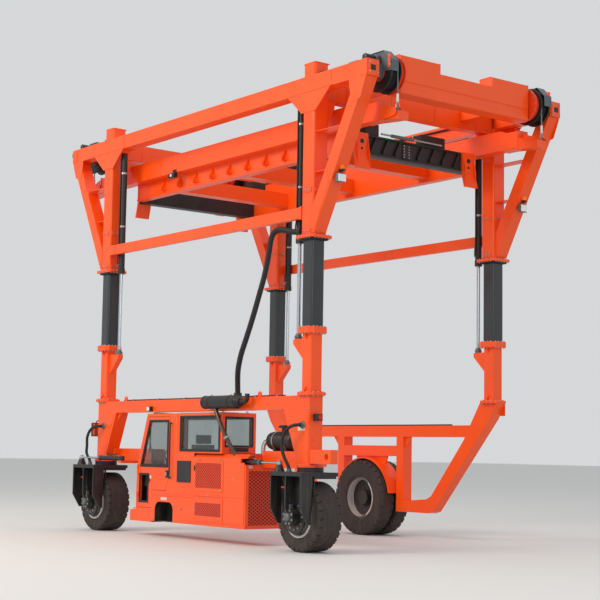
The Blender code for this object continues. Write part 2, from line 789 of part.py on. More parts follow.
def build_fork(end):
    """Slewing ring half, top plate and outer arm that carry one drive wheel."""
    x = ENDS[end] * HX
    y = HY
    ring_top, plate_top, boss_top = fork_levels()
    plate_low = plate_top - FORK_PLATE_T
    origin = (x, y, ring_top)
    ring = [(0, plate_top - 0.005), (RING_R, plate_top - 0.005), (RING_R, ring_top), (0, ring_top)]
    fork = finish(turned_mesh(ring, (x, y, 0), segments=32), f"fork_{end}", "black", origin)
    arm_in = y + FORK_ARM_Y
    arm_out = arm_in + FORK_ARM_T
    plate = [
        (x - FORK_HALF_W, y - FORK_IN),
        (x + FORK_HALF_W, y - FORK_IN),
        (x + FORK_HALF_W, arm_out),
        (x - FORK_HALF_W, arm_out),
    ]
    arm = [(x + FORK_HALF_W, plate_top - 0.005), (x - FORK_HALF_W, plate_top - 0.005)]
    arm += [(x - FORK_HALF_W, plate_low - 0.12)]
    arm += arc((x, TYRE_R), FORK_FOOT_R, 180, 360, 16)
    arm += [(x + FORK_HALF_W, plate_low - 0.12)]
    boss = [
        (0, plate_top - 0.01),
        (BOSS_R + 0.04, plate_top - 0.01),
        (BOSS_R, boss_top),
        (0, boss_top),
    ]
    hub = [(0, -TYRE_W / 2 + 0.03), (HUB_BORE, -TYRE_W / 2 + 0.03)]
    hub += [(HUB_BORE, FORK_ARM_Y + 0.01), (0, FORK_ARM_Y + 0.01)]
    motor = [(0, FORK_ARM_Y + 0.02), (0.13, FORK_ARM_Y + 0.02), (0.12, FORK_ARM_Y + 0.15)]
    motor += [(0, FORK_ARM_Y + 0.15)]
    weld(
        fork,
        prism_mesh(plate, plate_low, plate_top, "Z"),
        prism_mesh(arm, arm_in, arm_in + FORK_ARM_PLATE),
        turned_mesh(boss, (x + BOSS_X, y + BOSS_Y, 0), segments=16),
        turned_mesh(hub, (x, y, TYRE_R), "Y", 24),
        turned_mesh(motor, (x, y, TYRE_R), "Y", 24),
    )
    rib = [(arm_in + 0.01, TYRE_R - 0.10), (arm_in + 0.07, TYRE_R - 0.10)]
    rib += [(arm_out, TYRE_R + 0.12), (arm_out, plate_top - 0.002), (arm_in + 0.01, plate_top - 0.002)]
    for sx in (-1, 1):
        near, far = sorted((x + sx * (FORK_HALF_W - 0.001), x + sx * (FORK_HALF_W - FORK_RIB_T)))
        weld(fork, prism_mesh(rib, near, far, "X"))
    weld(fork, prism_mesh(rib, x - FORK_RIB_T / 2, x + FORK_RIB_T / 2, "X"))
    return fork


def build_drive_wheel(end):
    """Solid tyre and its steel rim, turning on the fork's hub."""
    centre = (ENDS[end] * HX, HY, TYRE_R)
    half = TYRE_W / 2
    bore = RIM_R + GAP
    tyre = [(bore, -half + 0.03), (bore + 0.03, -half), (TYRE_R - 0.06, -half)]
    tyre += [(TYRE_R - 0.015, -half + 0.03), (TYRE_R, -half + 0.07)]
    tyre += [(r, -h) for r, h in reversed(tyre)]
    finish(turned_mesh(tyre, centre, "Y", 48), f"tyre_{end}", "rubber", centre, smooth=True)
    web = 0.06
    rim = [
        (HUB_BORE + GAP, -web),
        (RIM_R - 0.035, -web),
        (RIM_R - 0.035, -half + 0.04),
        (RIM_R, -half + 0.04),
        (RIM_R, half - 0.04),
        (RIM_R - 0.035, half - 0.04),
        (RIM_R - 0.035, web),
        (HUB_BORE + GAP, web),
    ]
    finish(turned_mesh(rim, centre, "Y", 48), f"rim_{end}", "rim_grey", centre, smooth=True)


def build_steer_cylinder(end):
    """Steering cylinder: barrel pinned on the chassis, rod eye on top of the fork's boss."""
    base, mouth, eye = steer_points(end)
    run = (base - eye).normalized()
    flat = [(0, -STEER_ROD_R), (STEER_EYE_R, -STEER_ROD_R), (STEER_EYE_R, STEER_ROD_R), (0, STEER_ROD_R)]
    rod = finish(turned_mesh(flat, eye, segments=16), f"steer_rod_{end}", "chrome", eye)
    rod_end = mouth + run * STEER_HELD
    shank = STEER_ROD_R * 0.8
    weld(rod, rod_mesh(eye + run * 0.01, rod_end, shank, 12))
    barrel = finish(rod_mesh(mouth, base, STEER_BARREL_R, 16), f"steer_barrel_{end}", "mast_grey", base)
    lug = [(0, -STEER_BARREL_R), (STEER_EYE_R, -STEER_BARREL_R)]
    lug += [(STEER_EYE_R, STEER_BARREL_R), (0, STEER_BARREL_R)]
    weld(barrel, turned_mesh(lug, base, segments=16))
    cut(barrel, rod_mesh(mouth - run * 0.05, rod_end + run * STEER_STROKE, shank + 2 * GAP, 12))


# ---------------------------------------------------------------- module
def door_outline(inset=0.0):
    """Door outline in (x, z): waisted front edge, cut up over the step at the rear."""
    return [
        (CAB_FRONT - 0.05 - inset, CAB_FOOT + 0.035 + inset),
        (CAB_FRONT - 0.05 - inset, CAB_WAIST),
        (CAB_ROOF_FRONT - 0.03 - inset, CAB_ROOF - 0.05 - inset),
        (0.58 + inset, CAB_ROOF - 0.05 - inset),
        (0.58 + inset, 1.02),
        (0.70 + inset, CAB_STEP_Z + 0.05 + inset),
        (CAB_STEP_X + 0.02 + inset, CAB_STEP_Z + 0.05 + inset),
        (CAB_STEP_X + 0.02 + inset, CAB_FOOT + 0.035 + inset),
    ]


def door_window():
    return [
        (CAB_FRONT - 0.13, CAB_WAIST + 0.03),
        (CAB_ROOF_FRONT - 0.10, CAB_ROOF - 0.13),
        (0.66, CAB_ROOF - 0.13),
        (0.66, CAB_WAIST + 0.03),
    ]


def door_low_window():
    return [(1.49, 0.56), (1.49, 1.00), (1.24, 1.00), (1.19, 0.90), (1.24, 0.82), (1.24, 0.56)]


def side_window():
    return [(0.28, HOOD_Z + 0.05), (0.28, CAB_ROOF - 0.07), (-0.80, CAB_ROOF - 0.07), (-0.80, HOOD_Z + 0.05)]


def shrink(points, amount):
    """Move each point of a convex outline towards its middle by about an amount."""
    cx = sum(p[0] for p in points) / len(points)
    cz = sum(p[1] for p in points) / len(points)
    return [
        (x - math.copysign(amount, x - cx), z - math.copysign(amount, z - cz))
        for x, z in points
    ]


def build_cab():
    """Hollow cab with its windows cut, the hinged door, glass and seat."""
    wall = CAB_WALL
    hood = HOOD_Z + GAP
    outer = [
        (CAB_FRONT, CAB_FOOT),
        (CAB_FRONT, CAB_WAIST),
        (CAB_ROOF_FRONT, CAB_ROOF),
        (CAB_REAR, CAB_ROOF),
        (CAB_REAR, hood),
        (CAB_REAR_FOOT, hood),
        (CAB_REAR_FOOT, CAB_STEP_Z),
        (CAB_STEP_X, CAB_STEP_Z),
        (CAB_STEP_X, CAB_FOOT),
    ]
    inner = [
        (CAB_FRONT - wall, CAB_FOOT + wall),
        (CAB_FRONT - wall, CAB_WAIST),
        (CAB_ROOF_FRONT - wall, CAB_ROOF - wall),
        (CAB_REAR + wall, CAB_ROOF - wall),
        (CAB_REAR + wall, hood + wall),
        (CAB_REAR_FOOT + wall, hood + wall),
        (CAB_REAR_FOOT + wall, CAB_STEP_Z + wall),
        (CAB_STEP_X + wall, CAB_STEP_Z + wall),
        (CAB_STEP_X + wall, CAB_FOOT + wall),
    ]
    cab = finish(prism_mesh(outer, MODULE_IN, MODULE_OUT), "cab_shell", "orange")
    cut(cab, prism_mesh(inner, MODULE_IN + wall, MODULE_OUT - wall))
    cut(cab, prism_mesh(door_outline(), MODULE_OUT - wall - 0.02, MODULE_OUT + 0.05))
    cut(cab, prism_mesh(side_window(), MODULE_OUT - wall - 0.02, MODULE_OUT + 0.05))
    window_low = CAB_WAIST + 0.03
    window_high = CAB_ROOF - 0.08
    screen = [(CAB_ROOF_FRONT - 0.15, window_low), (CAB_FRONT + 0.1, window_low)]
    screen += [(CAB_FRONT + 0.1, window_high), (CAB_ROOF_FRONT - 0.15, window_high)]
    glass_in = MODULE_IN + wall + 0.03
    glass_out = MODULE_OUT - wall - 0.03
    cut(cab, prism_mesh(screen, glass_in, glass_out))
    inner_window = [(1.05, window_low + 0.05), (1.05, window_high), (-0.75, window_high)]
    inner_window += [(-0.75, HOOD_Z + 0.12), (0.0, HOOD_Z + 0.12), (0.0, window_low + 0.05)]
    cut(cab, prism_mesh(inner_window, MODULE_IN - 0.05, MODULE_IN + wall + 0.02))
    rear = [(glass_in, HOOD_Z + 0.12), (glass_out, HOOD_Z + 0.12)]
    rear += [(glass_out, window_high), (glass_in, window_high)]
    cut(cab, prism_mesh(rear, CAB_REAR - 0.05, CAB_REAR + wall + 0.02, "X"))
    sill = [(CAB_STEP_X, PAN_Z - 0.02), (CAB_FRONT + 0.18, PAN_Z - 0.02), (CAB_FRONT + 0.18, CAB_FOOT - 0.01)]
    sill += [(CAB_FRONT - 0.02, CAB_FOOT + 0.01), (CAB_STEP_X, CAB_FOOT + 0.01)]
    weld(cab, prism_mesh(sill, MODULE_IN + 0.02, MODULE_OUT))

    hinge = (CAB_FRONT - 0.05 - DOOR_GAP / 2, MODULE_OUT + KNUCKLE_R + GAP, 0.0)
    door = finish(
        prism_mesh(door_outline(DOOR_GAP), MODULE_OUT - DOOR_T, MODULE_OUT),
        "cab_door",
        "orange",
        hinge,
    )
    for z in (0.55, 1.00):
        pin = (hinge[0], hinge[1], z)
        knuckle_top = z + KNUCKLE_H
        leaf_in = MODULE_OUT - 0.004
        leaf_out = MODULE_OUT + 0.008
        flat = MODULE_OUT + GAP
        weld(door, rod_mesh(pin, (hinge[0], hinge[1], knuckle_top), KNUCKLE_R, 12))
        leaf_end = CAB_FRONT - 0.05 - DOOR_GAP - 0.002
        weld(door, box_mesh((leaf_end - 0.06, leaf_in, z + 0.002), (leaf_end, leaf_out, knuckle_top - 0.002)))
        weld(door, box_mesh((leaf_end - 0.01, flat, z + 0.002), (hinge[0], leaf_out, knuckle_top - 0.002)))
        low = knuckle_top + GAP
        weld(cab, rod_mesh((hinge[0], hinge[1], low), (hinge[0], hinge[1], low + KNUCKLE_H), KNUCKLE_R, 12))
        strip = CAB_FRONT - 0.05 + 0.002
        knuckle_top = low + KNUCKLE_H - 0.002
        weld(cab, box_mesh((strip, leaf_in, low + 0.002), (strip + 0.04, leaf_out, knuckle_top)))
        weld(cab, box_mesh((hinge[0], flat, low + 0.002), (strip + 0.01, leaf_out, knuckle_top)))
    cut(
        door,
        prism_mesh(door_window(), MODULE_OUT - DOOR_T - 0.05, MODULE_OUT + 0.05),
        prism_mesh(door_low_window(), MODULE_OUT - DOOR_T - 0.05, MODULE_OUT + 0.05),
    )
    mid = MODULE_OUT - DOOR_T / 2
    finish(
        prism_mesh(shrink(door_window(), GAP), mid - GLASS_T / 2, mid + GLASS_T / 2),
        "cab_door_glass",
        "glass",
        hinge,
    )
    finish(
        prism_mesh(shrink(side_window(), GAP), mid - GLASS_T / 2, mid + GLASS_T / 2),
        "cab_side_glass",
        "glass",
    )
    slope = (CAB_FRONT - CAB_ROOF_FRONT) / (CAB_ROOF - CAB_WAIST)
    low = window_low + GAP
    high = window_high - GAP
    front_low = CAB_FRONT - (low - CAB_WAIST) * slope - wall * 0.6
    front_high = CAB_FRONT - (high - CAB_WAIST) * slope - wall * 0.6
    pane = [(front_low, low), (front_high, high), (front_high - GLASS_T, high), (front_low - GLASS_T, low)]
    finish(prism_mesh(pane, glass_in + GAP, glass_out - GAP), "cab_windscreen", "glass")

    seat_x = 0.42
    floor = CAB_STEP_Z + wall + GAP
    low_y = MODULE_IN + wall + 0.05
    seat = [
        (seat_x - 0.20, floor),
        (seat_x + 0.16, floor),
        (seat_x + 0.26, floor + 0.24),
        (seat_x + 0.24, floor + 0.36),
        (seat_x - 0.14, floor + 0.33),
        (seat_x - 0.27, floor + 0.92),
        (seat_x - 0.37, floor + 0.90),
        (seat_x - 0.26, floor + 0.22),
    ]
    finish(prism_mesh(seat, low_y, low_y + 0.44), "driver_seat", "black")


def build_engine():
    """Engine housing with the pan and step recess under the cab, and the engine block."""
    outline = [
        (CAB_REAR_FOOT - GAP, HOOD_Z),
        (ENGINE_REAR, HOOD_Z),
        (ENGINE_REAR, PAN_Z),
        (CAB_STEP_X - GAP, PAN_Z),
        (CAB_STEP_X - GAP, CAB_STEP_Z - GAP),
        (CAB_REAR_FOOT - GAP, CAB_STEP_Z - GAP),
    ]
    housing = finish(prism_mesh(outline, MODULE_IN, ENGINE_OUT), "engine_housing", "orange")
    wall = ENGINE_WALL
    near = MODULE_IN + wall
    far = ENGINE_OUT - wall
    high = HOOD_Z - wall
    cavity = [(near, PAN_Z + wall), (near, high), (far - ENGINE_CHAMFER, high)]
    cavity += [(far, high - ENGINE_CHAMFER), (far, PAN_Z + wall)]
    cut(housing, prism_mesh(cavity, ENGINE_REAR + wall, CAB_REAR_FOOT - wall, "X"))
    chamfer = [
        (ENGINE_OUT + 0.01, HOOD_Z + 0.01),
        (ENGINE_OUT - ENGINE_CHAMFER, HOOD_Z + 0.01),
        (ENGINE_OUT - ENGINE_CHAMFER + 0.01, HOOD_Z),
        (ENGINE_OUT, HOOD_Z - ENGINE_CHAMFER + 0.01),
        (ENGINE_OUT + 0.01, HOOD_Z - ENGINE_CHAMFER),
    ]
    cut(housing, prism_mesh(chamfer, ENGINE_REAR - 0.1, CAB_REAR_FOOT + 0.1, "X"))
    middle = 0.71
    half = 0.27
    high = PAN_Z + 0.32
    step = [(middle - half, PAN_Z - 0.05), (middle + half, PAN_Z - 0.05)]
    step += arc((middle + half - STEP_R, high - STEP_R), STEP_R, 0, 90, 6)
    step += arc((middle - half + STEP_R, high - STEP_R), STEP_R, 90, 180, 6)
    cut(housing, prism_mesh(step, ENGINE_OUT - 0.25, ENGINE_OUT + 0.1))
    base = steer_points("rear")[0]
    low = base.z - SLOT_H / 2
    high = base.z + SLOT_H / 2
    slot = arc((SLOT_IN + SLOT_H / 2, base.z), SLOT_H / 2, 90, 270, 8)
    slot += [(ENGINE_OUT + 0.1, low), (ENGINE_OUT + 0.1, high)]
    cut(housing, prism_mesh(slot, ENGINE_REAR - 0.1, ENGINE_REAR + wall + 0.02, "X"))
    corner = (ENGINE_REAR - 0.1, far - 0.02, low)
    cut(housing, box_mesh(corner, (ENGINE_REAR + SLOT_L, ENGINE_OUT + 0.1, high)))
    relief = (ENGINE_REAR + wall, far - ENGINE_CHAMFER, low)
    cut(housing, box_mesh(relief, (base.x - STEER_EYE_R, far - 0.005, high)))
    seat = base.z - STEER_BARREL_R - GAP
    weld(housing, box_mesh((base.x - 0.05, base.y - 0.05, seat - 0.03), (base.x + 0.05, far + 0.01, seat)))
    return housing


def build_engine_block():
    floor = PAN_Z + ENGINE_WALL + GAP
    return box("engine_block", (-1.30, 1.60, floor), (-0.35, 1.95, floor + 0.85), "iron")


def build_exhaust():
    """Silencer on the frame beam with its outlet, and the pipe that comes up from the hood."""
    y = HY + FRAME_DEPTH / 2 + 0.105
    z = FRAME_TOP - 0.07
    can = rod_mesh((-0.50, y, z), (-1.38, y, z), 0.10, 24)
    muffler = finish(can, "exhaust_silencer", "black", smooth=True)
    weld(
        muffler,
        rod_mesh((-1.37, y, z), (-1.62, y, z + 0.05), 0.045, 16),
        rod_mesh((-0.75, y, z), (-1.00, y, 1.70), EXHAUST_R, 16),
        rod_mesh((-1.00, y, 1.705), (-1.20, y - 0.17, HOOD_Z - 0.1), EXHAUST_R, 16),
    )
    cut(muffler, box_mesh((-1.5, y - 0.4, HOOD_Z - 0.3), (-0.9, y + 0.2, HOOD_Z + GAP)))
    cut(muffler, box_mesh((-2, y - 0.3, z - 0.2), (0, HY + FRAME_DEPTH / 2 + GAP, z + 0.2)))
    return muffler


def build_air_cleaner():
    """Air cleaner canister on the rear carrier arm, with its rain cap."""
    y = ARM_IN + ARM_W / 2
    radius = 0.14
    z = ARM_Z + ARM_H + radius + 0.012
    cleaner = finish(rod_mesh((-1.62, y, z), (-2.20, y, z), radius, 24), "air_cleaner", "black", smooth=True)
    weld(
        cleaner,
        rod_mesh((-1.95, y, z + 0.08), (-1.95, y, z + 0.20), 0.05, 16),
        rod_mesh((-1.95, y, z + 0.195), (-1.95, y, z + 0.235), 0.11, 20),
        box_mesh((-1.85, y - 0.08, ARM_Z + ARM_H + GAP), (-1.75, y + 0.08, z - radius + 0.03)),
        box_mesh((-2.10, y - 0.08, ARM_Z + ARM_H + GAP), (-2.00, y + 0.08, z - radius + 0.03)),
    )
    return cleaner


UMBILICAL_ROUTE = [
    (-1.060, 1.850, FRAME_TOP + GAP),
    (-1.060, 1.850, FRAME_TOP + 0.03),
    (-1.060, 1.850, FRAME_TOP + 0.07),
    (-1.085, 1.875, 2.450),
    (-1.160, 1.925, 2.650),
    (-1.270, 1.955, 2.870),
    (-1.400, 1.965, 3.090),
    (-1.520, 1.968, 3.310),
    (-1.630, 1.970, 3.530),
    (-1.730, 1.970, 3.750),
    (-1.830, 1.970, 3.970),
    (-1.910, 1.970, 4.190),
    (-1.965, 1.970, 4.390),
    (-2.000, 1.970, 4.540),
    (-2.050, 1.970, 4.640),
    (-2.140, 1.970, 4.690),
    (-2.270, 1.970, 4.690),
    (-2.400, 1.968, 4.660),
    (-2.520, 1.965, 4.632),
    (-2.620, 1.963, 4.620),
    (-2.690, 1.963, 4.620),
    (-2.7506, 1.963, 4.620),
]
UMBILICAL_R = 0.045


def smooth_route(points, per_span):
    """Catmull-Rom points through a route's own points."""
    route = [Vector(p) for p in points]
    padded = [2 * route[0] - route[1], *route, 2 * route[-1] - route[-2]]
    result = []
    for i in range(1, len(padded) - 2):
        p0, p1, p2, p3 = padded[i - 1 : i + 3]
        for step in range(per_span):
            t = step / per_span
            a = 2 * p1
            b = (p2 - p0) * t
            c = (2 * p0 - 5 * p1 + 4 * p2 - p3) * t * t
            d = (3 * p1 - p0 - 3 * p2 + p3) * t * t * t
            result.append((a + b + c + d) / 2)
    result.append(route[-1])
    return result


def build_umbilical():
    """Corrugated hose that carries the services from the chassis up to the moving frame."""
    points = smooth_route(UMBILICAL_ROUTE, 2)
    curve = bpy.data.curves.new("umbilical_hose", "CURVE")
    curve.dimensions = "3D"
    curve.bevel_depth = UMBILICAL_R
    curve.bevel_resolution = 2
    curve.use_fill_caps = True
    spline = curve.splines.new("POLY")
    spline.points.add(len(points) - 1)
    for spot, point in zip(spline.points, points):
        spot.co = (*point, 1.0)
    hose = bpy.data.objects.new("umbilical_hose", curve)
    bpy.context.scene.collection.objects.link(hose)
    curve.materials.append(material("black"))
    return hose


# ---------------------------------------------------------------- far side frame
def far_diagonal(sx):
    """Side view of one far side leg: diagonal box down to the lower chord."""
    top = FRAME_TOP
    low = LOWER_CHORD_Z
    chord_top = LOWER_CHORD_Z + LOWER_CHORD_H
    points = [
        (HX + 0.17, top),
        (HX - 0.20, top),
        (HX - 0.56, UPPER_CHORD_Z - 0.05),
        (1.56, chord_top + 0.09),
        (1.45, chord_top + 0.04),
        (0.95, chord_top),
        (FAR_POST_X, chord_top),
        (FAR_POST_X, low),
        (1.50, low),
        (1.60, low + 0.03),
        (HX + 0.03, 1.98),
    ]
    return [(sx * x, z) for x, z in points]


def build_far_frame():
    """Truss frame over the far side's dual wheel, one welded piece."""
    low_y = FAR_Y - FAR_DEPTH / 2
    high_y = FAR_Y + FAR_DEPTH / 2
    frame = finish(prism_mesh(far_diagonal(1), low_y, high_y), "far_side_frame", "orange")
    post_out = FAR_POST_X + FAR_POST_W
    parts = [prism_mesh(far_diagonal(-1), low_y, high_y)]
    parts.append(
        box_mesh(
            (-2.45, low_y + 0.004, UPPER_CHORD_Z),
            (2.45, high_y - 0.004, UPPER_CHORD_Z + UPPER_CHORD_H),
        )
    )
    parts.append(
        box_mesh(
            (-FAR_POST_X - 0.02, low_y + 0.002, SECOND_CHORD_Z),
            (FAR_POST_X + 0.02, high_y - 0.002, SECOND_CHORD_Z + SECOND_CHORD_H),
        )
    )
    for sx in ENDS.values():
        near, far = sorted((sx * FAR_POST_X, sx * post_out))
        foot = (near, low_y + 0.001, LOWER_CHORD_Z + 0.01)
        parts.append(box_mesh(foot, (far, high_y - 0.001, UPPER_CHORD_Z + 0.01)))
    arch_in = arc((0, FAR_TYRE_R), ARCH_R, 8, 172, 24)
    arch_out = arc((0, FAR_TYRE_R), ARCH_R + ARCH_T, 172, 8, 24)
    parts.append(prism_mesh(arch_in + arch_out, low_y + 0.05, high_y + 0.16))
    hanger = [(-0.42, SECOND_CHORD_Z + 0.02), (0.42, SECOND_CHORD_Z + 0.02)]
    hanger += arc((0, FAR_TYRE_R), 0.14, 0, -180, 12)
    parts.append(prism_mesh(hanger, FAR_WHEEL_Y - HANGER_T / 2, FAR_WHEEL_Y + HANGER_T / 2))
    weld(frame, *parts)
    cut(
        frame,
        rod_mesh((0, FAR_WHEEL_Y - 0.1, FAR_TYRE_R), (0, FAR_WHEEL_Y + 0.1, FAR_TYRE_R), AXLE_R + BORE_GAP, 48),
    )
    return frame


def build_far_wheel():
    """Dual wheel: two tyres and the double rim on its axle."""
    centre = (0, FAR_WHEEL_Y, FAR_TYRE_R)
    for name, sy in (("inner", 1), ("outer", -1)):
        low = FAR_GAP
        high = FAR_GAP + FAR_TYRE_W
        bore = FAR_RIM_R + GAP
        tyre = [(bore, low + 0.03), (bore + 0.05, low), (FAR_TYRE_R - 0.08, low)]
        tyre += [(FAR_TYRE_R - 0.02, low + 0.03), (FAR_TYRE_R, low + 0.08)]
        tyre += [(r, low + high - h) for r, h in reversed(tyre)]
        shape = [(r, sy * h) for r, h in tyre]
        finish(turned_mesh(shape, centre, "Y", 48), f"far_tyre_{name}", "rubber", centre, smooth=True)
    near = FAR_GAP + 0.03
    far = FAR_GAP + FAR_TYRE_W - 0.03
    inner = FAR_RIM_R - 0.03
    half = [
        (AXLE_R, near + 0.02),
        (0.16, near + 0.02),
        (inner, near + 0.06),
        (inner, near),
        (FAR_RIM_R, near),
        (FAR_RIM_R, far),
        (inner, far),
        (inner, near + 0.09),
        (0.14, near + 0.06),
        (0.12, far - 0.06),
        (0, far - 0.06),
    ]
    profile = [(r, -h) for r, h in reversed(half)] + half
    finish(turned_mesh(profile, centre, "Y", 48), "far_rim", "rim_grey", centre, smooth=True)


# ---------------------------------------------------------------- assembly
def main():
    clear_scene()
    for side in SIDES:
        for end in ENDS:
            leg, seat = build_leg(side, end)
            build_lift_cylinder(side, end, seat)
            build_corner_frame(side, end)
            build_rope(side, end)
        build_top_beam(side)
        build_mid_beam(side)
    for end in ENDS:
        build_cross_beam(end)
        build_winch_beam(end)
        build_drums(end)
        build_spreader_end(end)
    build_spreader()
    build_driver_frame()
    for end in ENDS:
        build_fork(end)
        build_drive_wheel(end)
        build_steer_cylinder(end)
    build_cab()
    build_engine()
    build_engine_block()
    build_exhaust()
    build_air_cleaner()
    build_umbilical()
    build_far_frame()
    build_far_wheel()
    place_machine()


main()
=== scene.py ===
"""Looks of a three-wheeled straddle carrier, dressed over its CAD frame."""

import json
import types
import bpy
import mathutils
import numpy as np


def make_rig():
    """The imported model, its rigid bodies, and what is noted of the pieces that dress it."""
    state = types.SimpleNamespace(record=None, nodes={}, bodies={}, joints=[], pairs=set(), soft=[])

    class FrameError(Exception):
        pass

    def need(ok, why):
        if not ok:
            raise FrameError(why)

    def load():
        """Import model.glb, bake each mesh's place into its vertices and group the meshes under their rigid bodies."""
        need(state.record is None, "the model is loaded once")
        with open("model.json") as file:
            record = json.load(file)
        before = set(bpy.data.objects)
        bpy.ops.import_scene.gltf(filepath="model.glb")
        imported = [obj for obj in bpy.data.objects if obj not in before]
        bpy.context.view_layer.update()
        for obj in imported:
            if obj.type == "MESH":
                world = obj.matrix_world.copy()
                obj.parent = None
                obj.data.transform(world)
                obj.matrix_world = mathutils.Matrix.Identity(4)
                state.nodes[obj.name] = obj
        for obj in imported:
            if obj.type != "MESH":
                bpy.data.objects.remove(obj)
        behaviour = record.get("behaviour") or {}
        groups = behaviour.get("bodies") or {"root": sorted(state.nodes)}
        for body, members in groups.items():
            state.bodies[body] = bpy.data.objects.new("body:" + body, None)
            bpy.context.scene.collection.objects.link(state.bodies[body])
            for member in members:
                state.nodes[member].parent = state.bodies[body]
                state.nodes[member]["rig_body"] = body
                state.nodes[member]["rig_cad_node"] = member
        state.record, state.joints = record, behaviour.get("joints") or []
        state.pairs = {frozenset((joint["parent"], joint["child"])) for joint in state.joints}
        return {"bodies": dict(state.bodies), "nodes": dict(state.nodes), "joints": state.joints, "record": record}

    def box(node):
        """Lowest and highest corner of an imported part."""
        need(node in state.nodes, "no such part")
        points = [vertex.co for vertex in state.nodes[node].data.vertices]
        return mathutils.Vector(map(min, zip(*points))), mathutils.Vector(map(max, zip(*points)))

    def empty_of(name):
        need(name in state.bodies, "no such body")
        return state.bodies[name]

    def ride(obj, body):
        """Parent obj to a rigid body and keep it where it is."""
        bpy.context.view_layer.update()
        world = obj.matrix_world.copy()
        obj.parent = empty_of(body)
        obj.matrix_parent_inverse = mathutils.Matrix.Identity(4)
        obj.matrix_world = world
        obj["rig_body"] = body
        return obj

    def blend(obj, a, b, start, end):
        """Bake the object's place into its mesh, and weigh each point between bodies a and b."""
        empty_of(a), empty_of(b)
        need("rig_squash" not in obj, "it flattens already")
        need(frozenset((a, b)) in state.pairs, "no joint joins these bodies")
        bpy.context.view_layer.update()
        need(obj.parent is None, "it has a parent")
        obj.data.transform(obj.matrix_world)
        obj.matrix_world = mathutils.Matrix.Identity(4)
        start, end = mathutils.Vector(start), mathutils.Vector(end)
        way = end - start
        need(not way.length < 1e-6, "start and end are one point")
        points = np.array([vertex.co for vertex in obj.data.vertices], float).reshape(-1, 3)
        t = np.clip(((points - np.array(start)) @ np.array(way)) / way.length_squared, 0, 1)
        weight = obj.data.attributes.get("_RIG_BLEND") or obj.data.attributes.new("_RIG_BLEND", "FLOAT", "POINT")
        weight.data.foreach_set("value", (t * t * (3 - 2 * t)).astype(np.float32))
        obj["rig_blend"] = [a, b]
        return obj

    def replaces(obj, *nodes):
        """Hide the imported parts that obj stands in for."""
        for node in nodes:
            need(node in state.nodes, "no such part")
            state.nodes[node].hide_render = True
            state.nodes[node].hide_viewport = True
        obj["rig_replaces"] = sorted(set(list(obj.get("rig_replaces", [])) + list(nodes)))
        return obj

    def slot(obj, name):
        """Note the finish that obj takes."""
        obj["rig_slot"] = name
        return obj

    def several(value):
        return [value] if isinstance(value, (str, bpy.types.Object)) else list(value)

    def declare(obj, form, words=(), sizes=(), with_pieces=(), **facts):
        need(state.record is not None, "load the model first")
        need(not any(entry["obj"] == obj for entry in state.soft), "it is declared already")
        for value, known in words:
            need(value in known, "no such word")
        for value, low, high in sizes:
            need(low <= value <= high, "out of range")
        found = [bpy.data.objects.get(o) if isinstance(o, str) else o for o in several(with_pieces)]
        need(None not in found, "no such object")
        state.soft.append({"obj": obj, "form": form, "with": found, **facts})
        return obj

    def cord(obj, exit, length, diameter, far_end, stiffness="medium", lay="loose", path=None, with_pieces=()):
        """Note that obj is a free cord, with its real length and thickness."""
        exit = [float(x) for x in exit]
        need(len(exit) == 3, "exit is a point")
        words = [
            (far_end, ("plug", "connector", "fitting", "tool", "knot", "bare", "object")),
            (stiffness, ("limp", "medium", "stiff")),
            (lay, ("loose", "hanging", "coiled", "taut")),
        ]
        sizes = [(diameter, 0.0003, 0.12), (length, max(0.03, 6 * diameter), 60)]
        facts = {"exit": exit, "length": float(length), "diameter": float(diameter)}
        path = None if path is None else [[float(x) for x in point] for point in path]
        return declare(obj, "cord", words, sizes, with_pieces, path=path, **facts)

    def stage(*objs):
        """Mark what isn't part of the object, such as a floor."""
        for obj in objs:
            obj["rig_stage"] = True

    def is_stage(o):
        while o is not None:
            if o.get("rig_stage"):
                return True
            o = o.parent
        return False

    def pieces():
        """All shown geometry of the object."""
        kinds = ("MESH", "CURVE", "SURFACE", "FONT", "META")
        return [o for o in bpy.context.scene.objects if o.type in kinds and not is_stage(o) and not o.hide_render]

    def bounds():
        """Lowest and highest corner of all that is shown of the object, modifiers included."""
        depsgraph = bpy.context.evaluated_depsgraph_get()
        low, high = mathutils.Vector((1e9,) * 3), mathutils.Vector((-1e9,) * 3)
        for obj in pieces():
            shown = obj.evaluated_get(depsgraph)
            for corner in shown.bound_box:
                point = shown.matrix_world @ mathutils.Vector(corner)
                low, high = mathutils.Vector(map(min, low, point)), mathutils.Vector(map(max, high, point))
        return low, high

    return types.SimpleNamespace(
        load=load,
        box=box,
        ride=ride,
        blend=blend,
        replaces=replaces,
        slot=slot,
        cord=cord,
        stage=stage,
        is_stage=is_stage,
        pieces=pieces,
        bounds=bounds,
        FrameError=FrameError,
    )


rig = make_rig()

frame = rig.load()

import json
import logging
import math
from dataclasses import dataclass
from enum import Enum
from typing import Callable, Iterable, Sequence

import bmesh
import bpy
from mathutils import Matrix, Vector

LOG = logging.getLogger("straddle_carrier")
CAD_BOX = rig.bounds()
Point = Sequence[float]

HALF_BASE = 2.886      # leg line to mid machine, along the machine
HALF_TRACK = 1.846     # leg line to mid machine, across it
CENTRING = Vector((0.0, -0.088, 0.0))   # sizes below are from the leg rectangle's centre
BEAM_OUT = 1.981       # outer face of sleeves and top beams
FAR_WHEEL = -1.81


class Side(Enum):
    """The machine's two sides, with the sign of their Y."""

    DRIVER = 1
    FAR = -1


class End(Enum):
    """The machine's two ends, with the sign of their X."""

    FRONT = 1
    REAR = -1


class Axis(Enum):
    """A machine axis, as a direction."""

    X = (1.0, 0.0, 0.0)
    Y = (0.0, 1.0, 0.0)
    Z = (0.0, 0.0, 1.0)


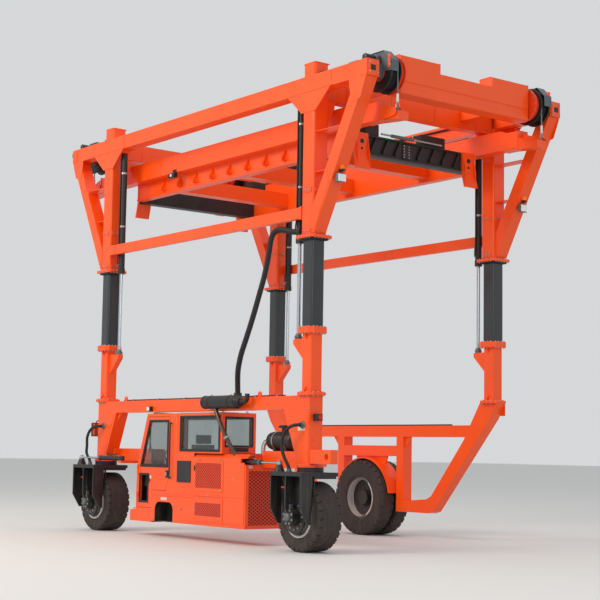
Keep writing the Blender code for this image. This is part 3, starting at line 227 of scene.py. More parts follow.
# ------------------------------------------------------------------ finishes
def linear(code: str) -> tuple[float, float, float, float]:
    """Turn an sRGB hex code into the linear colour that a socket takes.

    Args:
        code: six hex digits, such as "F2480E".

    Returns:
        Red, green, blue and an alpha of one.
    """
    parts = [int(code[i : i + 2], 16) / 255 for i in (0, 2, 4)]
    lit = [p / 12.92 if p <= 0.04045 else ((p + 0.055) / 1.055) ** 2.4 for p in parts]
    return (lit[0], lit[1], lit[2], 1.0)


def add(
    tree: bpy.types.NodeTree, kind: str, settings: dict, links: dict | None = None
) -> bpy.types.Node:
    """Add one node, set its sockets and properties, and link its inputs.

    Args:
        tree: the material's node tree.
        kind: the node's type name after "ShaderNode".
        settings: input names or numbers with values; a name that starts with "." is a property.
        links: input names or numbers with the output sockets that feed them.

    Returns:
        The new node.
    """
    node = tree.nodes.new("ShaderNode" + kind)
    for key, value in settings.items():
        if isinstance(key, str) and key.startswith("."):
            setattr(node, key[1:], value)
        else:
            node.inputs[key].default_value = value
    for key, socket in (links or {}).items():
        tree.links.new(socket, node.inputs[key])
    return node


@dataclass(frozen=True)
class Finish:
    """A surface: what it is made of and how that shows.

    Sizes are real, in millimetres. Colours are sRGB hex.
    """

    name: str
    colour: str
    worn: str
    roughness: float
    grain_mm: float = 30.0
    relief: float = 0.12
    dust: float = 0.25
    metallic: float = 0.0
    coat: float = 0.0

    def material(self) -> bpy.types.Material:
        """Return the finish's material, made on first use."""
        found = bpy.data.materials.get(self.name)
        if found is not None:
            return found
        made = bpy.data.materials.new(self.name)
        made.use_nodes = True
        tree = made.node_tree
        shader = tree.nodes["Principled BSDF"]
        shader.inputs["Metallic"].default_value = self.metallic
        shader.inputs["Coat Weight"].default_value = self.coat
        shader.inputs["Coat Roughness"].default_value = 0.12
        self.dress(tree, shader)
        return made

    def patches(self, tree: bpy.types.NodeTree) -> dict[str, bpy.types.NodeSocket]:
        """Add the noises that every finish shares.

        Returns:
            Sockets by name: place, broad, fine, streak.
        """
        place = add(tree, "TexCoord", {}).outputs["Object"]
        broad = add(
            tree, "TexNoise", {"Scale": 1.7, "Detail": 5.0, "Roughness": 0.6}, {"Vector": place}
        )
        fine = add(
            tree, "TexNoise", {"Scale": 1000.0 / self.grain_mm, "Detail": 4.0}, {"Vector": place}
        )
        run = add(tree, "Mapping", {"Scale": (9.0, 9.0, 0.9)}, {"Vector": place})
        streak = add(
            tree, "TexNoise", {"Scale": 2.2, "Detail": 6.0, "Roughness": 0.7},
            {"Vector": run.outputs[0]}
        )
        return {
            "place": place, "broad": broad.outputs[0], "fine": fine.outputs[0],
            "streak": streak.outputs[0]
        }

    def soiled(
        self, tree: bpy.types.NodeTree, base: bpy.types.NodeSocket, seen: dict
    ) -> bpy.types.NodeSocket:
        """Lay road dust over a colour, thicker towards the ground and in runs."""
        height = add(tree, "SeparateXYZ", {}, {0: seen["place"]}).outputs[2]
        low = add(tree, "MapRange", {1: 0.0, 2: 1.5, 3: 1.0, 4: 0.12}, {0: height}).outputs[0]
        runs = add(
            tree, "MapRange", {1: 0.42, 2: 0.72, 3: 0.0, 4: 1.0}, {0: seen["streak"]}
        ).outputs[0]
        amount = add(tree, "Math", {".operation": "MULTIPLY"}, {0: low, 1: runs}).outputs[0]
        share = add(tree, "Math", {".operation": "MULTIPLY", 1: self.dust}, {0: amount}).outputs[0]
        mix = add(tree, "MixRGB", {2: linear("8E8376")}, {0: share, 1: base})
        return mix.outputs[0]

    def dress(self, tree: bpy.types.NodeTree, shader: bpy.types.Node) -> None:
        """Build colour, roughness and relief."""
        seen = self.patches(tree)
        blend = add(
            tree, "MapRange", {1: 0.35, 2: 0.75, 3: 0.0, 4: 0.75}, {0: seen["broad"]}
        ).outputs[0]
        base = add(
            tree, "MixRGB", {1: linear(self.colour), 2: linear(self.worn)}, {0: blend}
        ).outputs[0]
        colour = self.soiled(tree, base, seen)
        tree.links.new(colour, shader.inputs["Base Color"])
        low = max(self.roughness - 0.07, 0.03)
        rough = add(
            tree, "MapRange", {1: 0.3, 2: 0.7, 3: low, 4: self.roughness + 0.12},
            {0: seen["streak"]}
        )
        tree.links.new(rough.outputs[0], shader.inputs["Roughness"])
        bump = add(
            tree, "Bump", {"Strength": self.relief, "Distance": 0.004}, {"Height": seen["fine"]}
        )
        tree.links.new(bump.outputs[0], shader.inputs["Normal"])


@dataclass(frozen=True)
class PaintedSteel(Finish):
    """Sprayed two-pack paint on plate: glossy, faint orange peel, small chips down to primer."""

    chips: float = 0.5

    def dress(self, tree: bpy.types.NodeTree, shader: bpy.types.Node) -> None:
        """Build the paint, then its chips and the rolled waviness of the plate."""
        seen = self.patches(tree)
        blend = add(
            tree, "MapRange", {1: 0.35, 2: 0.75, 3: 0.0, 4: 0.8}, {0: seen["broad"]}
        ).outputs[0]
        base = add(
            tree, "MixRGB", {1: linear(self.colour), 2: linear(self.worn)}, {0: blend}
        ).outputs[0]
        spots = add(
            tree, "TexNoise", {"Scale": 42.0, "Detail": 8.0, "Roughness": 0.72},
            {"Vector": seen["place"]}
        )
        hit = add(
            tree, "MapRange", {1: 0.69, 2: 0.715, 3: 0.0, 4: self.chips}, {0: spots.outputs[0]}
        ).outputs[0]
        chipped = add(tree, "MixRGB", {2: linear("3A2A24")}, {0: hit, 1: base}).outputs[0]
        tree.links.new(self.soiled(tree, chipped, seen), shader.inputs["Base Color"])
        rough = add(
            tree, "MapRange", {1: 0.3, 2: 0.7, 3: self.roughness - 0.06, 4: self.roughness + 0.14},
            {0: seen["streak"]}
        )
        tree.links.new(rough.outputs[0], shader.inputs["Roughness"])
        wave = add(
            tree, "TexNoise", {"Scale": 5.0, "Detail": 2.0}, {"Vector": seen["place"]}
        ).outputs[0]
        slow = add(tree, "Bump", {"Strength": 0.10, "Distance": 0.02}, {"Height": wave})
        peel = add(
            tree,
            "Bump",
            {"Strength": self.relief, "Distance": 0.003},
            {"Height": seen["fine"], "Normal": slow.outputs[0]},
        )
        tree.links.new(peel.outputs[0], shader.inputs["Normal"])


@dataclass(frozen=True)
class Chromed(Finish):
    """Hard chrome on a ground rod: mirror bright with fine draw lines along it."""

    def dress(self, tree: bpy.types.NodeTree, shader: bpy.types.Node) -> None:
        """Build the plating and its fine scoring."""
        seen = self.patches(tree)
        lines = add(
            tree, "Mapping", {"Scale": (220.0, 220.0, 2.0)}, {"Vector": seen["place"]}
        ).outputs[0]
        score = add(tree, "TexNoise", {"Scale": 1.0, "Detail": 3.0}, {"Vector": lines}).outputs[0]
        base = add(
            tree, "MixRGB", {1: linear(self.colour), 2: linear(self.worn)}, {0: seen["broad"]}
        ).outputs[0]
        tree.links.new(base, shader.inputs["Base Color"])
        rough = add(
            tree, "MapRange", {1: 0.3, 2: 0.7, 3: self.roughness, 4: self.roughness + 0.14},
            {0: score}
        )
        tree.links.new(rough.outputs[0], shader.inputs["Roughness"])
        bump = add(tree, "Bump", {"Strength": 0.05, "Distance": 0.001}, {"Height": score})
        tree.links.new(bump.outputs[0], shader.inputs["Normal"])


@dataclass(frozen=True)
class Glazed(Finish):
    """Flat safety glass: clear with a faint tint, smears and settled dust."""

    def dress(self, tree: bpy.types.NodeTree, shader: bpy.types.Node) -> None:
        """Build the clear pane and its smears."""
        seen = self.patches(tree)
        shader.inputs["Transmission Weight"].default_value = 0.98
        shader.inputs["IOR"].default_value = 1.45
        base = add(
            tree, "MixRGB", {1: linear(self.colour), 2: linear(self.worn)}, {0: seen["broad"]}
        ).outputs[0]
        tree.links.new(base, shader.inputs["Base Color"])
        rough = add(tree, "MapRange", {1: 0.5, 2: 0.8, 3: 0.0, 4: 0.07}, {0: seen["streak"]})
        tree.links.new(rough.outputs[0], shader.inputs["Roughness"])


@dataclass(frozen=True)
class Perforated(Finish):
    """Expanded metal: slanting strands, with the openings between them painted dark red as painted shade."""

    pitch_mm: float = 11.0
    # Colour of the openings: painted shade for the dark space behind the grille.
    gap_shade: str = "6E1404"

    def dress(self, tree: bpy.types.NodeTree, shader: bpy.types.Node) -> None:
        """Build the crossing strands, their relief and the painted shade in the openings."""
        seen = self.patches(tree)
        strands = []
        for turn in (35.0, -35.0):
            lean = math.radians(turn)
            laid = add(
                tree, "Mapping", {"Rotation": (lean, lean, 0.0)}, {"Vector": seen["place"]}
            ).outputs[0]
            band = add(
                tree, "TexWave",
                {
                    ".wave_type": "BANDS", ".bands_direction": "Z",
                    "Scale": 314.0 / self.pitch_mm / 3.14159
                },
                {"Vector": laid},
            )
            strands.append(band.outputs["Fac"])
        top = add(
            tree, "Math", {".operation": "MAXIMUM"}, {0: strands[0], 1: strands[1]}
        ).outputs[0]
        edge = add(tree, "MapRange", {1: 0.62, 2: 0.78, 3: 0.0, 4: 1.0}, {0: top}).outputs[0]
        # The openings take the painted shade colour and the strands take the paint.
        base = add(
            tree, "MixRGB", {1: linear(self.gap_shade), 2: linear(self.colour)}, {0: edge}
        ).outputs[0]
        tree.links.new(self.soiled(tree, base, seen), shader.inputs["Base Color"])
        rough = add(tree, "MapRange", {1: 0.0, 2: 1.0, 3: 0.85, 4: self.roughness}, {0: edge})
        tree.links.new(rough.outputs[0], shader.inputs["Roughness"])
        bump = add(tree, "Bump", {"Strength": 0.9, "Distance": 0.006}, {"Height": edge})
        tree.links.new(bump.outputs[0], shader.inputs["Normal"])


@dataclass(frozen=True)
class Lens(Finish):
    """Moulded lamp lens: clear coloured plastic with ribs and a faint painted glow."""

    def dress(self, tree: bpy.types.NodeTree, shader: bpy.types.Node) -> None:
        """Build the ribbed lens."""
        seen = self.patches(tree)
        shader.inputs["Transmission Weight"].default_value = 0.35
        # A faint glow in the lens's own colour is painted light, on the spreader camera's lens too.
        shader.inputs["Emission Strength"].default_value = 0.25
        shader.inputs["Emission Color"].default_value = linear(self.colour)
        base = add(
            tree, "MixRGB", {1: linear(self.colour), 2: linear(self.worn)}, {0: seen["broad"]}
        ).outputs[0]
        tree.links.new(base, shader.inputs["Base Color"])
        rough = add(tree, "MapRange", {3: 0.08, 4: 0.25}, {0: seen["fine"]})
        tree.links.new(rough.outputs[0], shader.inputs["Roughness"])
        ribs = add(
            tree, "TexWave", {"Scale": 60.0, ".bands_direction": "Z"}, {"Vector": seen["place"]}
        )
        bump = add(
            tree, "Bump", {"Strength": 0.5, "Distance": 0.003}, {"Height": ribs.outputs["Fac"]}
        )
        tree.links.new(bump.outputs[0], shader.inputs["Normal"])


ORANGE = PaintedSteel(
    "orange_two_pack", "FF5600", "F94D00", 0.34, 26.0, 0.10, 0.10, coat=0.15, chips=0.35
)
ORANGE_DEEP = PaintedSteel(
    "orange_hub_paint", "EE3E04", "D83504", 0.38, 20.0, 0.16, 0.25, coat=0.1
)
CHARCOAL = PaintedSteel(
    "charcoal_mast_paint", "23282B", "1A1D20", 0.30, 22.0, 0.10, 0.12, coat=0.4, chips=0.2
)
BLACK = PaintedSteel("black_chassis_paint", "16171A", "232426", 0.42, 18.0, 0.22, 0.30, chips=0.4)
GREY_CAST = Finish("grey_motor_casting", "6E7478", "565B5F", 0.48, 9.0, 0.45, 0.25, metallic=0.4)
CHROME = Chromed("hard_chrome_rod", "D6DADF", "BFC5CB", 0.07, metallic=1.0)
ZINC = Finish("zinc_plated_fastener", "B9BBB8", "8F8F8A", 0.34, 6.0, 0.2, 0.2, metallic=0.9)
GREASED_ROPE = Finish("greased_rope_lay", "222324", "2E2F30", 0.5, 6.0, 0.4, 0.05, metallic=0.6)
GUARD = PaintedSteel("grey_guard_paint", "5C6468", "4C5357", 0.42, 18.0, 0.2, 0.1, chips=0.3)
STEEL_ROPE = Finish("drawn_rope_wire", "8A8C8E", "5C5D5E", 0.42, 5.0, 0.5, 0.1, metallic=0.9)
WHITE_SLEEVE = Finish("white_swage_sleeve", "E9E7E2", "CFCBC2", 0.4, 12.0, 0.15, 0.1)
TYRE = Finish("vulcanised_tyre_rubber", "2A2422", "3A2F2B", 0.72, 9.0, 0.25, 0.22)
RUBBER = Finish("black_hose_rubber", "141414", "1F1E1D", 0.52, 8.0, 0.30, 0.15)
GASKET = Finish("glazing_rubber", "0E0E0F", "171717", 0.45, 10.0, 0.15, 0.10)
PLASTIC = Finish("black_moulded_plastic", "1B1C1E", "242527", 0.5, 4.0, 0.35, 0.15)
SEAT_COVER = Finish("seat_vinyl", "1D1F22", "2A2C30", 0.58, 5.0, 0.5, 0.05)
RIM_PAINT = PaintedSteel(
    "wheel_enamel", "D9D3CC", "B9B2AA", 0.34, 16.0, 0.2, 0.6, coat=0.1, chips=0.6
)
ENGINE_IRON = Finish("engine_casting", "3B3D3E", "2B2C2D", 0.55, 8.0, 0.5, 0.4, metallic=0.5)
GLASS = Glazed("safety_glass", "D2D9D7", "C3CBC9", 0.05)
HOT_PIPE = Finish("heat_browned_pipe", "6B5950", "43362F", 0.36, 10.0, 0.3, 0.1, metallic=0.85)
GRILLE = Perforated("expanded_metal_grille", "E63A06", "CC3006", 0.5, dust=0.1)
AMBER = Lens("amber_lens", "FF8A12", "F06A00", 0.15)
CLEAR_LENS = Lens("clear_lamp_lens", "F4F6F5", "DDE2E0", 0.12)
RED_LENS = Lens("red_lamp_lens", "D3160E", "A80F09", 0.15)
LABEL = Finish("blank_label_film", "DAD7CF", "C8C4BA", 0.42, 40.0, 0.05, 0.2)
YELLOW = Finish("yellow_cable_tag", "E8C21A", "CFA80F", 0.45, 20.0, 0.1, 0.1)
RED_CLIP = Finish("red_hose_clip", "C81E12", "A5170D", 0.45, 14.0, 0.2, 0.15)


# ------------------------------------------------------------------ shapes
class Shape:
    """One piece in the making: a mesh that grows part by part, with a finish on each part."""

    def __init__(self, finish: Finish) -> None:
        """Start an empty piece whose first finish is given."""
        self.bm = bmesh.new()
        self.finishes: list[Finish] = []
        self.index = 0
        self.use(finish)

    def use(self, finish: Finish) -> "Shape":
        """Give the parts that follow another finish."""
        if finish not in self.finishes:
            self.finishes.append(finish)
        self.index = self.finishes.index(finish)
        return self

    def take(self, part: bmesh.types.BMesh) -> "Shape":
        """Add a finished part, and free it."""
        for face in part.faces:
            face.material_index = self.index
        mesh = bpy.data.meshes.new("part")
        part.to_mesh(mesh)
        part.free()
        self.bm.from_mesh(mesh)
        bpy.data.meshes.remove(mesh)
        return self

    @staticmethod
    def eased(part: bmesh.types.BMesh, edge: float, segments: int, angle: float = 32.0) -> None:
        """Round a part's corners that are sharper than an angle."""
        if edge <= 0:
            return
        limit = math.radians(angle)
        sharp = [
            e for e in part.edges if len(e.link_faces) == 2 and e.calc_face_angle(0.0) > limit
        ]
        bmesh.ops.bevel(
            part,
            geom=sharp,
            offset=edge,
            offset_type="OFFSET",
            affect="EDGES",
            segments=segments,
            profile=0.5,
            material=-1,
            clamp_overlap=True,
        )

    def box(self, low: Point, high: Point, edge: float = 0.004, segments: int = 2) -> "Shape":
        """Add a block between two corners, with eased edges."""
        part = bmesh.new()
        a = Vector([min(p, q) for p, q in zip(low, high)])
        b = Vector([max(p, q) for p, q in zip(low, high)])
        place = Matrix.Translation((a + b) / 2) @ Matrix.Diagonal((*(b - a), 1.0))
        bmesh.ops.create_cube(part, size=1.0, matrix=place)
        self.eased(part, min(edge, min(b - a) * 0.3), segments)
        return self.take(part)

    def slab(
        self, outline: Sequence[Point], low: float, high: float, axis: Axis = Axis.Y,
        edge: float = 0.003
    ) -> "Shape":
        """Add a plate: an outline pushed along an axis.

        Args:
            outline: corners as (x, z) for Y, (y, z) for X and (x, y) for Z.
            low: where the plate starts along the axis.
            high: where it ends.
            axis: the way it is pushed.
            edge: how far its edges are eased.
        """
        part = bmesh.new()
        corners = []
        for a, b in outline:
            spot = {Axis.Y: (a, low, b), Axis.X: (low, a, b), Axis.Z: (a, b, low)}[axis]
            corners.append(part.verts.new(spot))
        face = part.faces.new(corners)
        pushed = bmesh.ops.extrude_face_region(part, geom=[face])["geom"]
        moved = [item for item in pushed if isinstance(item, bmesh.types.BMVert)]
        bmesh.ops.translate(part, verts=moved, vec=Vector(axis.value) * (high - low))
        bmesh.ops.recalc_face_normals(part, faces=part.faces)
        self.eased(part, edge, 2)
        return self.take(part)

    def ring(
        self, outline: Sequence[Point], width: float, low: float, high: float, axis: Axis = Axis.Y,
        edge: float = 0.003
    ) -> "Shape":
        """Add a frame that follows an outline inwards, such as a window's rubber."""
        part = bmesh.new()
        corners = []
        for a, b in outline:
            spot = {Axis.Y: (a, low, b), Axis.X: (low, a, b), Axis.Z: (a, b, low)}[axis]
            corners.append(part.verts.new(spot))
        face = part.faces.new(corners)
        face.normal_update()
        bmesh.ops.inset_region(
            part, faces=[face], thickness=width, use_even_offset=True, use_boundary=True
        )
        bmesh.ops.delete(part, geom=[face], context="FACES")
        pushed = bmesh.ops.extrude_face_region(part, geom=list(part.faces))["geom"]
        moved = [item for item in pushed if isinstance(item, bmesh.types.BMVert)]
        bmesh.ops.translate(part, verts=moved, vec=Vector(axis.value) * (high - low))
        bmesh.ops.recalc_face_normals(part, faces=part.faces)
        self.eased(part, edge, 2)
        return self.take(part)

    def rod(
        self, start: Point, end: Point, radius: float, segments: int = 20, edge: float = 0.0
    ) -> "Shape":
        """Add a round bar between two points."""
        a, b = Vector(start), Vector(end)
        turn = (b - a).to_track_quat("Z", "Y").to_matrix().to_4x4()
        part = bmesh.new()
        bmesh.ops.create_cone(
            part,
            cap_ends=True,
            segments=segments,
            radius1=radius,
            radius2=radius,
            depth=(b - a).length,
            matrix=Matrix.Translation((a + b) / 2) @ turn,
        )
        self.eased(part, edge, 2, 50.0)
        return self.take(part)

    def turned(
        self, profile: Sequence[Point], centre: Point, along: Point, segments: int = 40
    ) -> "Shape":
        """Add a body turned from a closed profile of (radius, height) about an axis."""
        part = bmesh.new()
        dots = [part.verts.new((r, 0.0, h)) for r, h in profile]
        lines = [part.edges.new((dots[i], dots[i - 1])) for i in range(len(dots))]
        bmesh.ops.spin(
            part,
            geom=dots + lines,
            cent=(0, 0, 0),
            axis=(0, 0, 1),
            angle=2 * math.pi,
            steps=segments,
            use_merge=True,
        )
        bmesh.ops.remove_doubles(part, verts=part.verts, dist=1e-6)
        bmesh.ops.dissolve_degenerate(part, edges=part.edges, dist=1e-7)
        bmesh.ops.recalc_face_normals(part, faces=part.faces)
        turn = Vector(along).to_track_quat("Z", "Y").to_matrix().to_4x4()
        bmesh.ops.transform(part, matrix=Matrix.Translation(centre) @ turn, verts=part.verts)
        return self.take(part)

    def pipe(
        self, route: Sequence[Point], radius: float, steps: int = 6, sides: int = 2
    ) -> "Shape":
        """Add a hose or pipe along a smooth line through the route's points."""
        line = bpy.data.curves.new("line", "CURVE")
        line.dimensions = "3D"
        line.bevel_depth = radius
        line.bevel_resolution = sides
        line.use_fill_caps = True
        spots = smooth_line(route, steps)
        spline = line.splines.new("POLY")
        spline.points.add(len(spots) - 1)
        for spot, place in zip(spline.points, spots):
            spot.co = (*place, 1.0)
        holder = bpy.data.objects.new("line", line)
        mesh = bpy.data.meshes.new_from_object(holder)
        part = bmesh.new()
        part.from_mesh(mesh)
        bpy.data.objects.remove(holder, do_unlink=True)
        bpy.data.meshes.remove(mesh)
        bmesh.ops.remove_doubles(part, verts=part.verts, dist=1e-6)
        bmesh.ops.recalc_face_normals(part, faces=part.faces)
        return self.take(part)

    def bolts(
        self, places: Iterable[Point], along: Point, size: float = 0.012, tall: float = 0.010
    ) -> "Shape":
        """Add hexagon heads on washers.

        Args:
            places: the points on the surface under each head.
            along: the way out of the surface.
            size: half the head's width across its corners.
            tall: the head's height.
        """
        out = Vector(along).normalized()
        turn = out.to_track_quat("Z", "Y").to_matrix().to_4x4()
        for place in places:
            spot = Vector(place)
            for radius, start, end, sides in (
                (size * 1.5, -0.002, 0.003, 14), (size, 0.002, tall, 6)
            ):
                part = bmesh.new()
                bmesh.ops.create_cone(
                    part,
                    cap_ends=True,
                    segments=sides,
                    radius1=radius,
                    radius2=radius * 0.94,
                    depth=end - start,
                    matrix=Matrix.Translation(spot + out * (start + end) / 2) @ turn,
                )
                self.take(part)
        return self

    def done(
        self, name: str, body: str | None, slot: str, *nodes: str, smooth: float = 34.0
    ) -> bpy.types.Object:
        """Turn the piece into an object on a body.

        Args:
            name: the object's name.
            body: the CAD body it rides on, or None where it is blended between two.
            slot: the record's material slot.
            nodes: CAD nodes that it stands for.
            smooth: the angle past which an edge stays sharp, in degrees.

        Returns:
            The finished object.
        """
        bmesh.ops.translate(self.bm, verts=self.bm.verts, vec=CENTRING)
        mesh = bpy.data.meshes.new(name)
        self.bm.to_mesh(mesh)
        self.bm.free()
        obj = bpy.data.objects.new(name, mesh)
        bpy.context.scene.collection.objects.link(obj)
        for finish in self.finishes:
            mesh.materials.append(finish.material())
        mesh.shade_smooth()
        mesh.set_sharp_from_angle(angle=math.radians(smooth))
        even = obj.modifiers.new("even_shading", "WEIGHTED_NORMAL")
        even.keep_sharp = True
        if body is not None:
            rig.ride(obj, body)
        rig.slot(obj, slot)
        if nodes:
            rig.replaces(obj, *nodes)
        LOG.info("%s on %s: %d faces", name, body, len(mesh.polygons))
        return obj


def smooth_line(route: Sequence[Point], steps: int) -> list[Vector]:
    """Points of a smooth curve through a route's own points.

    Args:
        route: the points to pass through.
        steps: how many points each stretch gets.

    Returns:
        The curve's points, with both ends.
    """
    spots = [Vector(p) for p in route]
    ends = [2 * spots[0] - spots[1], *spots, 2 * spots[-1] - spots[-2]]
    made = []
    for i in range(1, len(ends) - 2):
        p0, p1, p2, p3 = ends[i - 1 : i + 3]
        for step in range(steps):
            t = step / steps
            bend = (2 * p0 - 5 * p1 + 4 * p2 - p3) * t * t
            twist = (3 * p1 - p0 - 3 * p2 + p3) * t * t * t
            made.append((2 * p1 + (p2 - p0) * t + bend + twist) / 2)
    made.append(spots[-1])
    return made


def from_node(
    shape: Shape, node: str, edge: float, choose: Callable[[Vector], Finish] | None = None
) -> Shape:
    """Add a copy of a CAD node with its corners eased, as plate and box section have.

    Args:
        shape: the piece that takes the copy.
        node: the CAD node's name.
        edge: how far the corners are eased.
        choose: gives each face's finish from its middle, where it isn't the current one.
    """
    part = bmesh.new()
    part.from_mesh(bpy.data.objects[node].data)
    bmesh.ops.translate(part, verts=part.verts, vec=-CENTRING)
    bmesh.ops.remove_doubles(part, verts=part.verts, dist=2e-5)
    bmesh.ops.dissolve_limit(
        part, angle_limit=math.radians(0.6), verts=part.verts, edges=part.edges,
        use_dissolve_boundaries=False
    )
    Shape.eased(part, edge, 2)
    if choose is None:
        return shape.take(part)
    for face in part.faces:
        face.material_index = 0
    picked = [(face, choose(face.calc_center_median())) for face in part.faces]
    numbers = {}
    for _, finish in picked:
        shape.use(finish)
        numbers[finish.name] = shape.index
    for face, finish in picked:
        face.material_index = numbers[finish.name]
    mesh = bpy.data.meshes.new("part")
    part.to_mesh(mesh)
    part.free()
    shape.bm.from_mesh(mesh)
    bpy.data.meshes.remove(mesh)
    return shape


def circle(
    centre: Point, radius: float, count: int, axis: Axis, start: float = 0.0
) -> list[Vector]:
    """Points evenly round a circle that faces along an axis."""
    spots = []
    for i in range(count):
        angle = math.radians(start) + 2 * math.pi * i / count
        c, s = radius * math.cos(angle), radius * math.sin(angle)
        offset = {Axis.X: (0, c, s), Axis.Y: (c, 0, s), Axis.Z: (c, s, 0)}[axis]
        spots.append(Vector(centre) + Vector(offset))
    return spots


def square_row(x: float, y: float, z: float, half: float, count: int) -> list[Vector]:
    """Points along the four sides of a level square, corners left out."""
    spots = []
    for i in range(count):
        along = half * (2 * (i + 0.5) / count - 1) * 0.86
        spots += [Vector((x + along, y + half, z)), Vector((x + along, y - half, z))]
        spots += [Vector((x + half, y + along, z)), Vector((x - half, y + along, z))]
    return spots


# ------------------------------------------------------------------ studio
@dataclass
class Studio:
    """Camera, pale floor and soft light."""

    eye: tuple[float, float, float] = (-18.881, 14.394, 1.452)
    lens_mm: float = 84.92
    floor_colour: str = "D6D6D4"

    def build(self) -> None:
        """Make the camera first, then the floor, the sky and the lamps."""
        data = bpy.data.cameras.new("camera")
        data.lens = self.lens_mm
        data.sensor_width = 36.0
        data.clip_end = 300.0
        camera = bpy.data.objects.new("camera", data)
        right, up, back = (
            -0.6138, -0.7893, 0.0159
        ), (-0.0731, 0.0770, 0.9947), (-0.7861, 0.6094, -0.1049)
        turn = Matrix((right, up, back)).transposed()
        place = Matrix.Translation(self.eye)
        camera.matrix_world = place @ turn.to_quaternion().to_matrix().to_4x4()
        bpy.context.scene.collection.objects.link(camera)
        bpy.context.scene.camera = camera
        bpy.context.scene.view_settings.view_transform = "Standard"
        self.floor()
        self.light()

    def floor(self) -> None:
        """Make the plain floor."""
        bm = bmesh.new()
        bmesh.ops.create_grid(bm, x_segments=1, y_segments=1, size=120.0)
        mesh = bpy.data.meshes.new("floor")
        bm.to_mesh(mesh)
        bm.free()
        floor = bpy.data.objects.new("floor", mesh)
        bpy.context.scene.collection.objects.link(floor)
        made = bpy.data.materials.new("pale_floor")
        made.use_nodes = True
        shader = made.node_tree.nodes["Principled BSDF"]
        shader.inputs["Base Color"].default_value = linear(self.floor_colour)
        shader.inputs["Roughness"].default_value = 0.9
        mesh.materials.append(made)
        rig.stage(floor)

    def light(self) -> None:
        """Make the soft sky and three soft lamps."""
        world = bpy.data.worlds.new("studio")
        world.use_nodes = True
        sky = world.node_tree.nodes["Background"]
        sky.inputs["Color"].default_value = linear("F4F6F8")
        sky.inputs["Strength"].default_value = 0.74
        bpy.context.scene.world = world
        lamps = (
            ("key", (2.0, 19.0, 15.0), 10.0, 2500.0, "FFF3E2"),
            ("fill", (-20.0, 8.0, 9.0), 9.0, 420.0, "F2F6FF"),
            ("top", (0.0, 0.0, 20.0), 12.0, 700.0, "FFFFFF"),
        )
        for name, place, size, power, colour in lamps:
            data = bpy.data.lights.new(name, "AREA")
            data.shape = "DISK"
            data.size = size
            data.energy = power
            data.color = linear(colour)[:3]
            lamp = bpy.data.objects.new(name, data)
            lamp.location = place
            lamp.rotation_mode = "QUATERNION"
            lamp.rotation_quaternion = (Vector((0, 0, 3)) - Vector(place)).to_track_quat("-Z", "Y")
            bpy.context.scene.collection.objects.link(lamp)


# ------------------------------------------------------------------ umbilical
@dataclass
class Umbilical:
    """Corrugated hose with the services for the moving frame, free between two glands."""

    radius: float = 0.045
    pitch: float = 0.022
    route: tuple[Point, ...] = (
        (-1.060, 1.850, 2.2253),
        (-1.060, 1.850, 2.255),
        (-1.060, 1.850, 2.295),
        (-1.085, 1.875, 2.450),
        (-1.160, 1.925, 2.650),
        (-1.270, 1.955, 2.870),
        (-1.400, 1.965, 3.090),
        (-1.520, 1.968, 3.310),
        (-1.630, 1.970, 3.530),
        (-1.730, 1.970, 3.750),
        (-1.830, 1.970, 3.970),
        (-1.910, 1.970, 4.190),
        (-1.965, 1.970, 4.390),
        (-2.000, 1.970, 4.540),
        (-2.050, 1.970, 4.640),
        (-2.140, 1.970, 4.690),
        (-2.270, 1.970, 4.690),
        (-2.400, 1.968, 4.660),
        (-2.520, 1.965, 4.632),
        (-2.620, 1.963, 4.620),
        (-2.690, 1.963, 4.620),
        (-2.7506, 1.963, 4.620),
    )

    def build(self) -> None:
        """Make the hose as a curve whose points swell and shrink."""
        spots = [p + CENTRING for p in smooth_line(self.route, 12)]
        runs = [(b - a).length for a, b in zip(spots, spots[1:])]
        length = sum(runs)
        line = bpy.data.curves.new("umbilical", "CURVE")
        line.dimensions = "3D"
        line.bevel_depth = self.radius
        line.bevel_resolution = 4
        line.use_fill_caps = True
        spline = line.splines.new("POLY")
        count = int(length / (self.pitch / 2))
        spline.points.add(count)
        walked, leg = 0.0, 0
        for i, spot in enumerate(spline.points):
            goal = length * i / count
            while leg < len(runs) - 1 and walked + runs[leg] < goal:
                walked += runs[leg]
                leg += 1
            share = min(max((goal - walked) / runs[leg], 0.0), 1.0)
            place = spots[leg].lerp(spots[leg + 1], share)
            spot.co = (*place, 1.0)
            spot.radius = 1.0 if i % 2 else 0.86
        holder = bpy.data.objects.new("umbilical", line)
        mesh = bpy.data.meshes.new_from_object(holder)
        bpy.data.objects.remove(holder, do_unlink=True)
        hose = bpy.data.objects.new("umbilical_corrugated", mesh)
        bpy.context.scene.collection.objects.link(hose)
        mesh.materials.clear()
        mesh.materials.append(RUBBER.material())
        mesh.shade_smooth()
        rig.blend(
            hose, "driver_chassis", "upper_frame", start=(-1.1, 1.8, 2.45), end=(-2.1, 1.87, 4.55)
        )
        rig.slot(hose, "hose")
        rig.replaces(hose, "umbilical_hose")
        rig.cord(
            hose,
            exit=spots[0],
            length=length,
            diameter=2 * self.radius,
            far_end="object",
            stiffness="medium",
            lay="hanging",
            path=spots,
        )
        LOG.info("umbilical hose: %.3f m long", length)
        self.glands()

    def glands(self) -> None:
        """Make the collars at the hose's two ends."""
        low = Shape(PLASTIC)
        low.turned(
            [
                (0.046, 2.226), (0.075, 2.226), (0.075, 2.245), (0.062, 2.262), (0.062, 2.30),
                (0.046, 2.30)
            ],
            (-1.060, 1.850, 0.0), (0, 0, 1), 28
        )
        low.use(ZINC).bolts(
            circle((-1.06, 1.85, 2.245), 0.068, 6, Axis.Z), (0, 0, 1), 0.006, 0.006
        )
        low.done("umbilical_foot_gland", "driver_chassis", "hose")
        high = Shape(PLASTIC)
        high.turned([(0.046, 0.002), (0.060, 0.002), (0.060, 0.05), (0.054, 0.07), (0.046, 0.07)],
                    (-2.749, 1.963, 4.620), (1, 0, 0), 28)
        high.done("umbilical_head_gland", "upper_frame", "hose")


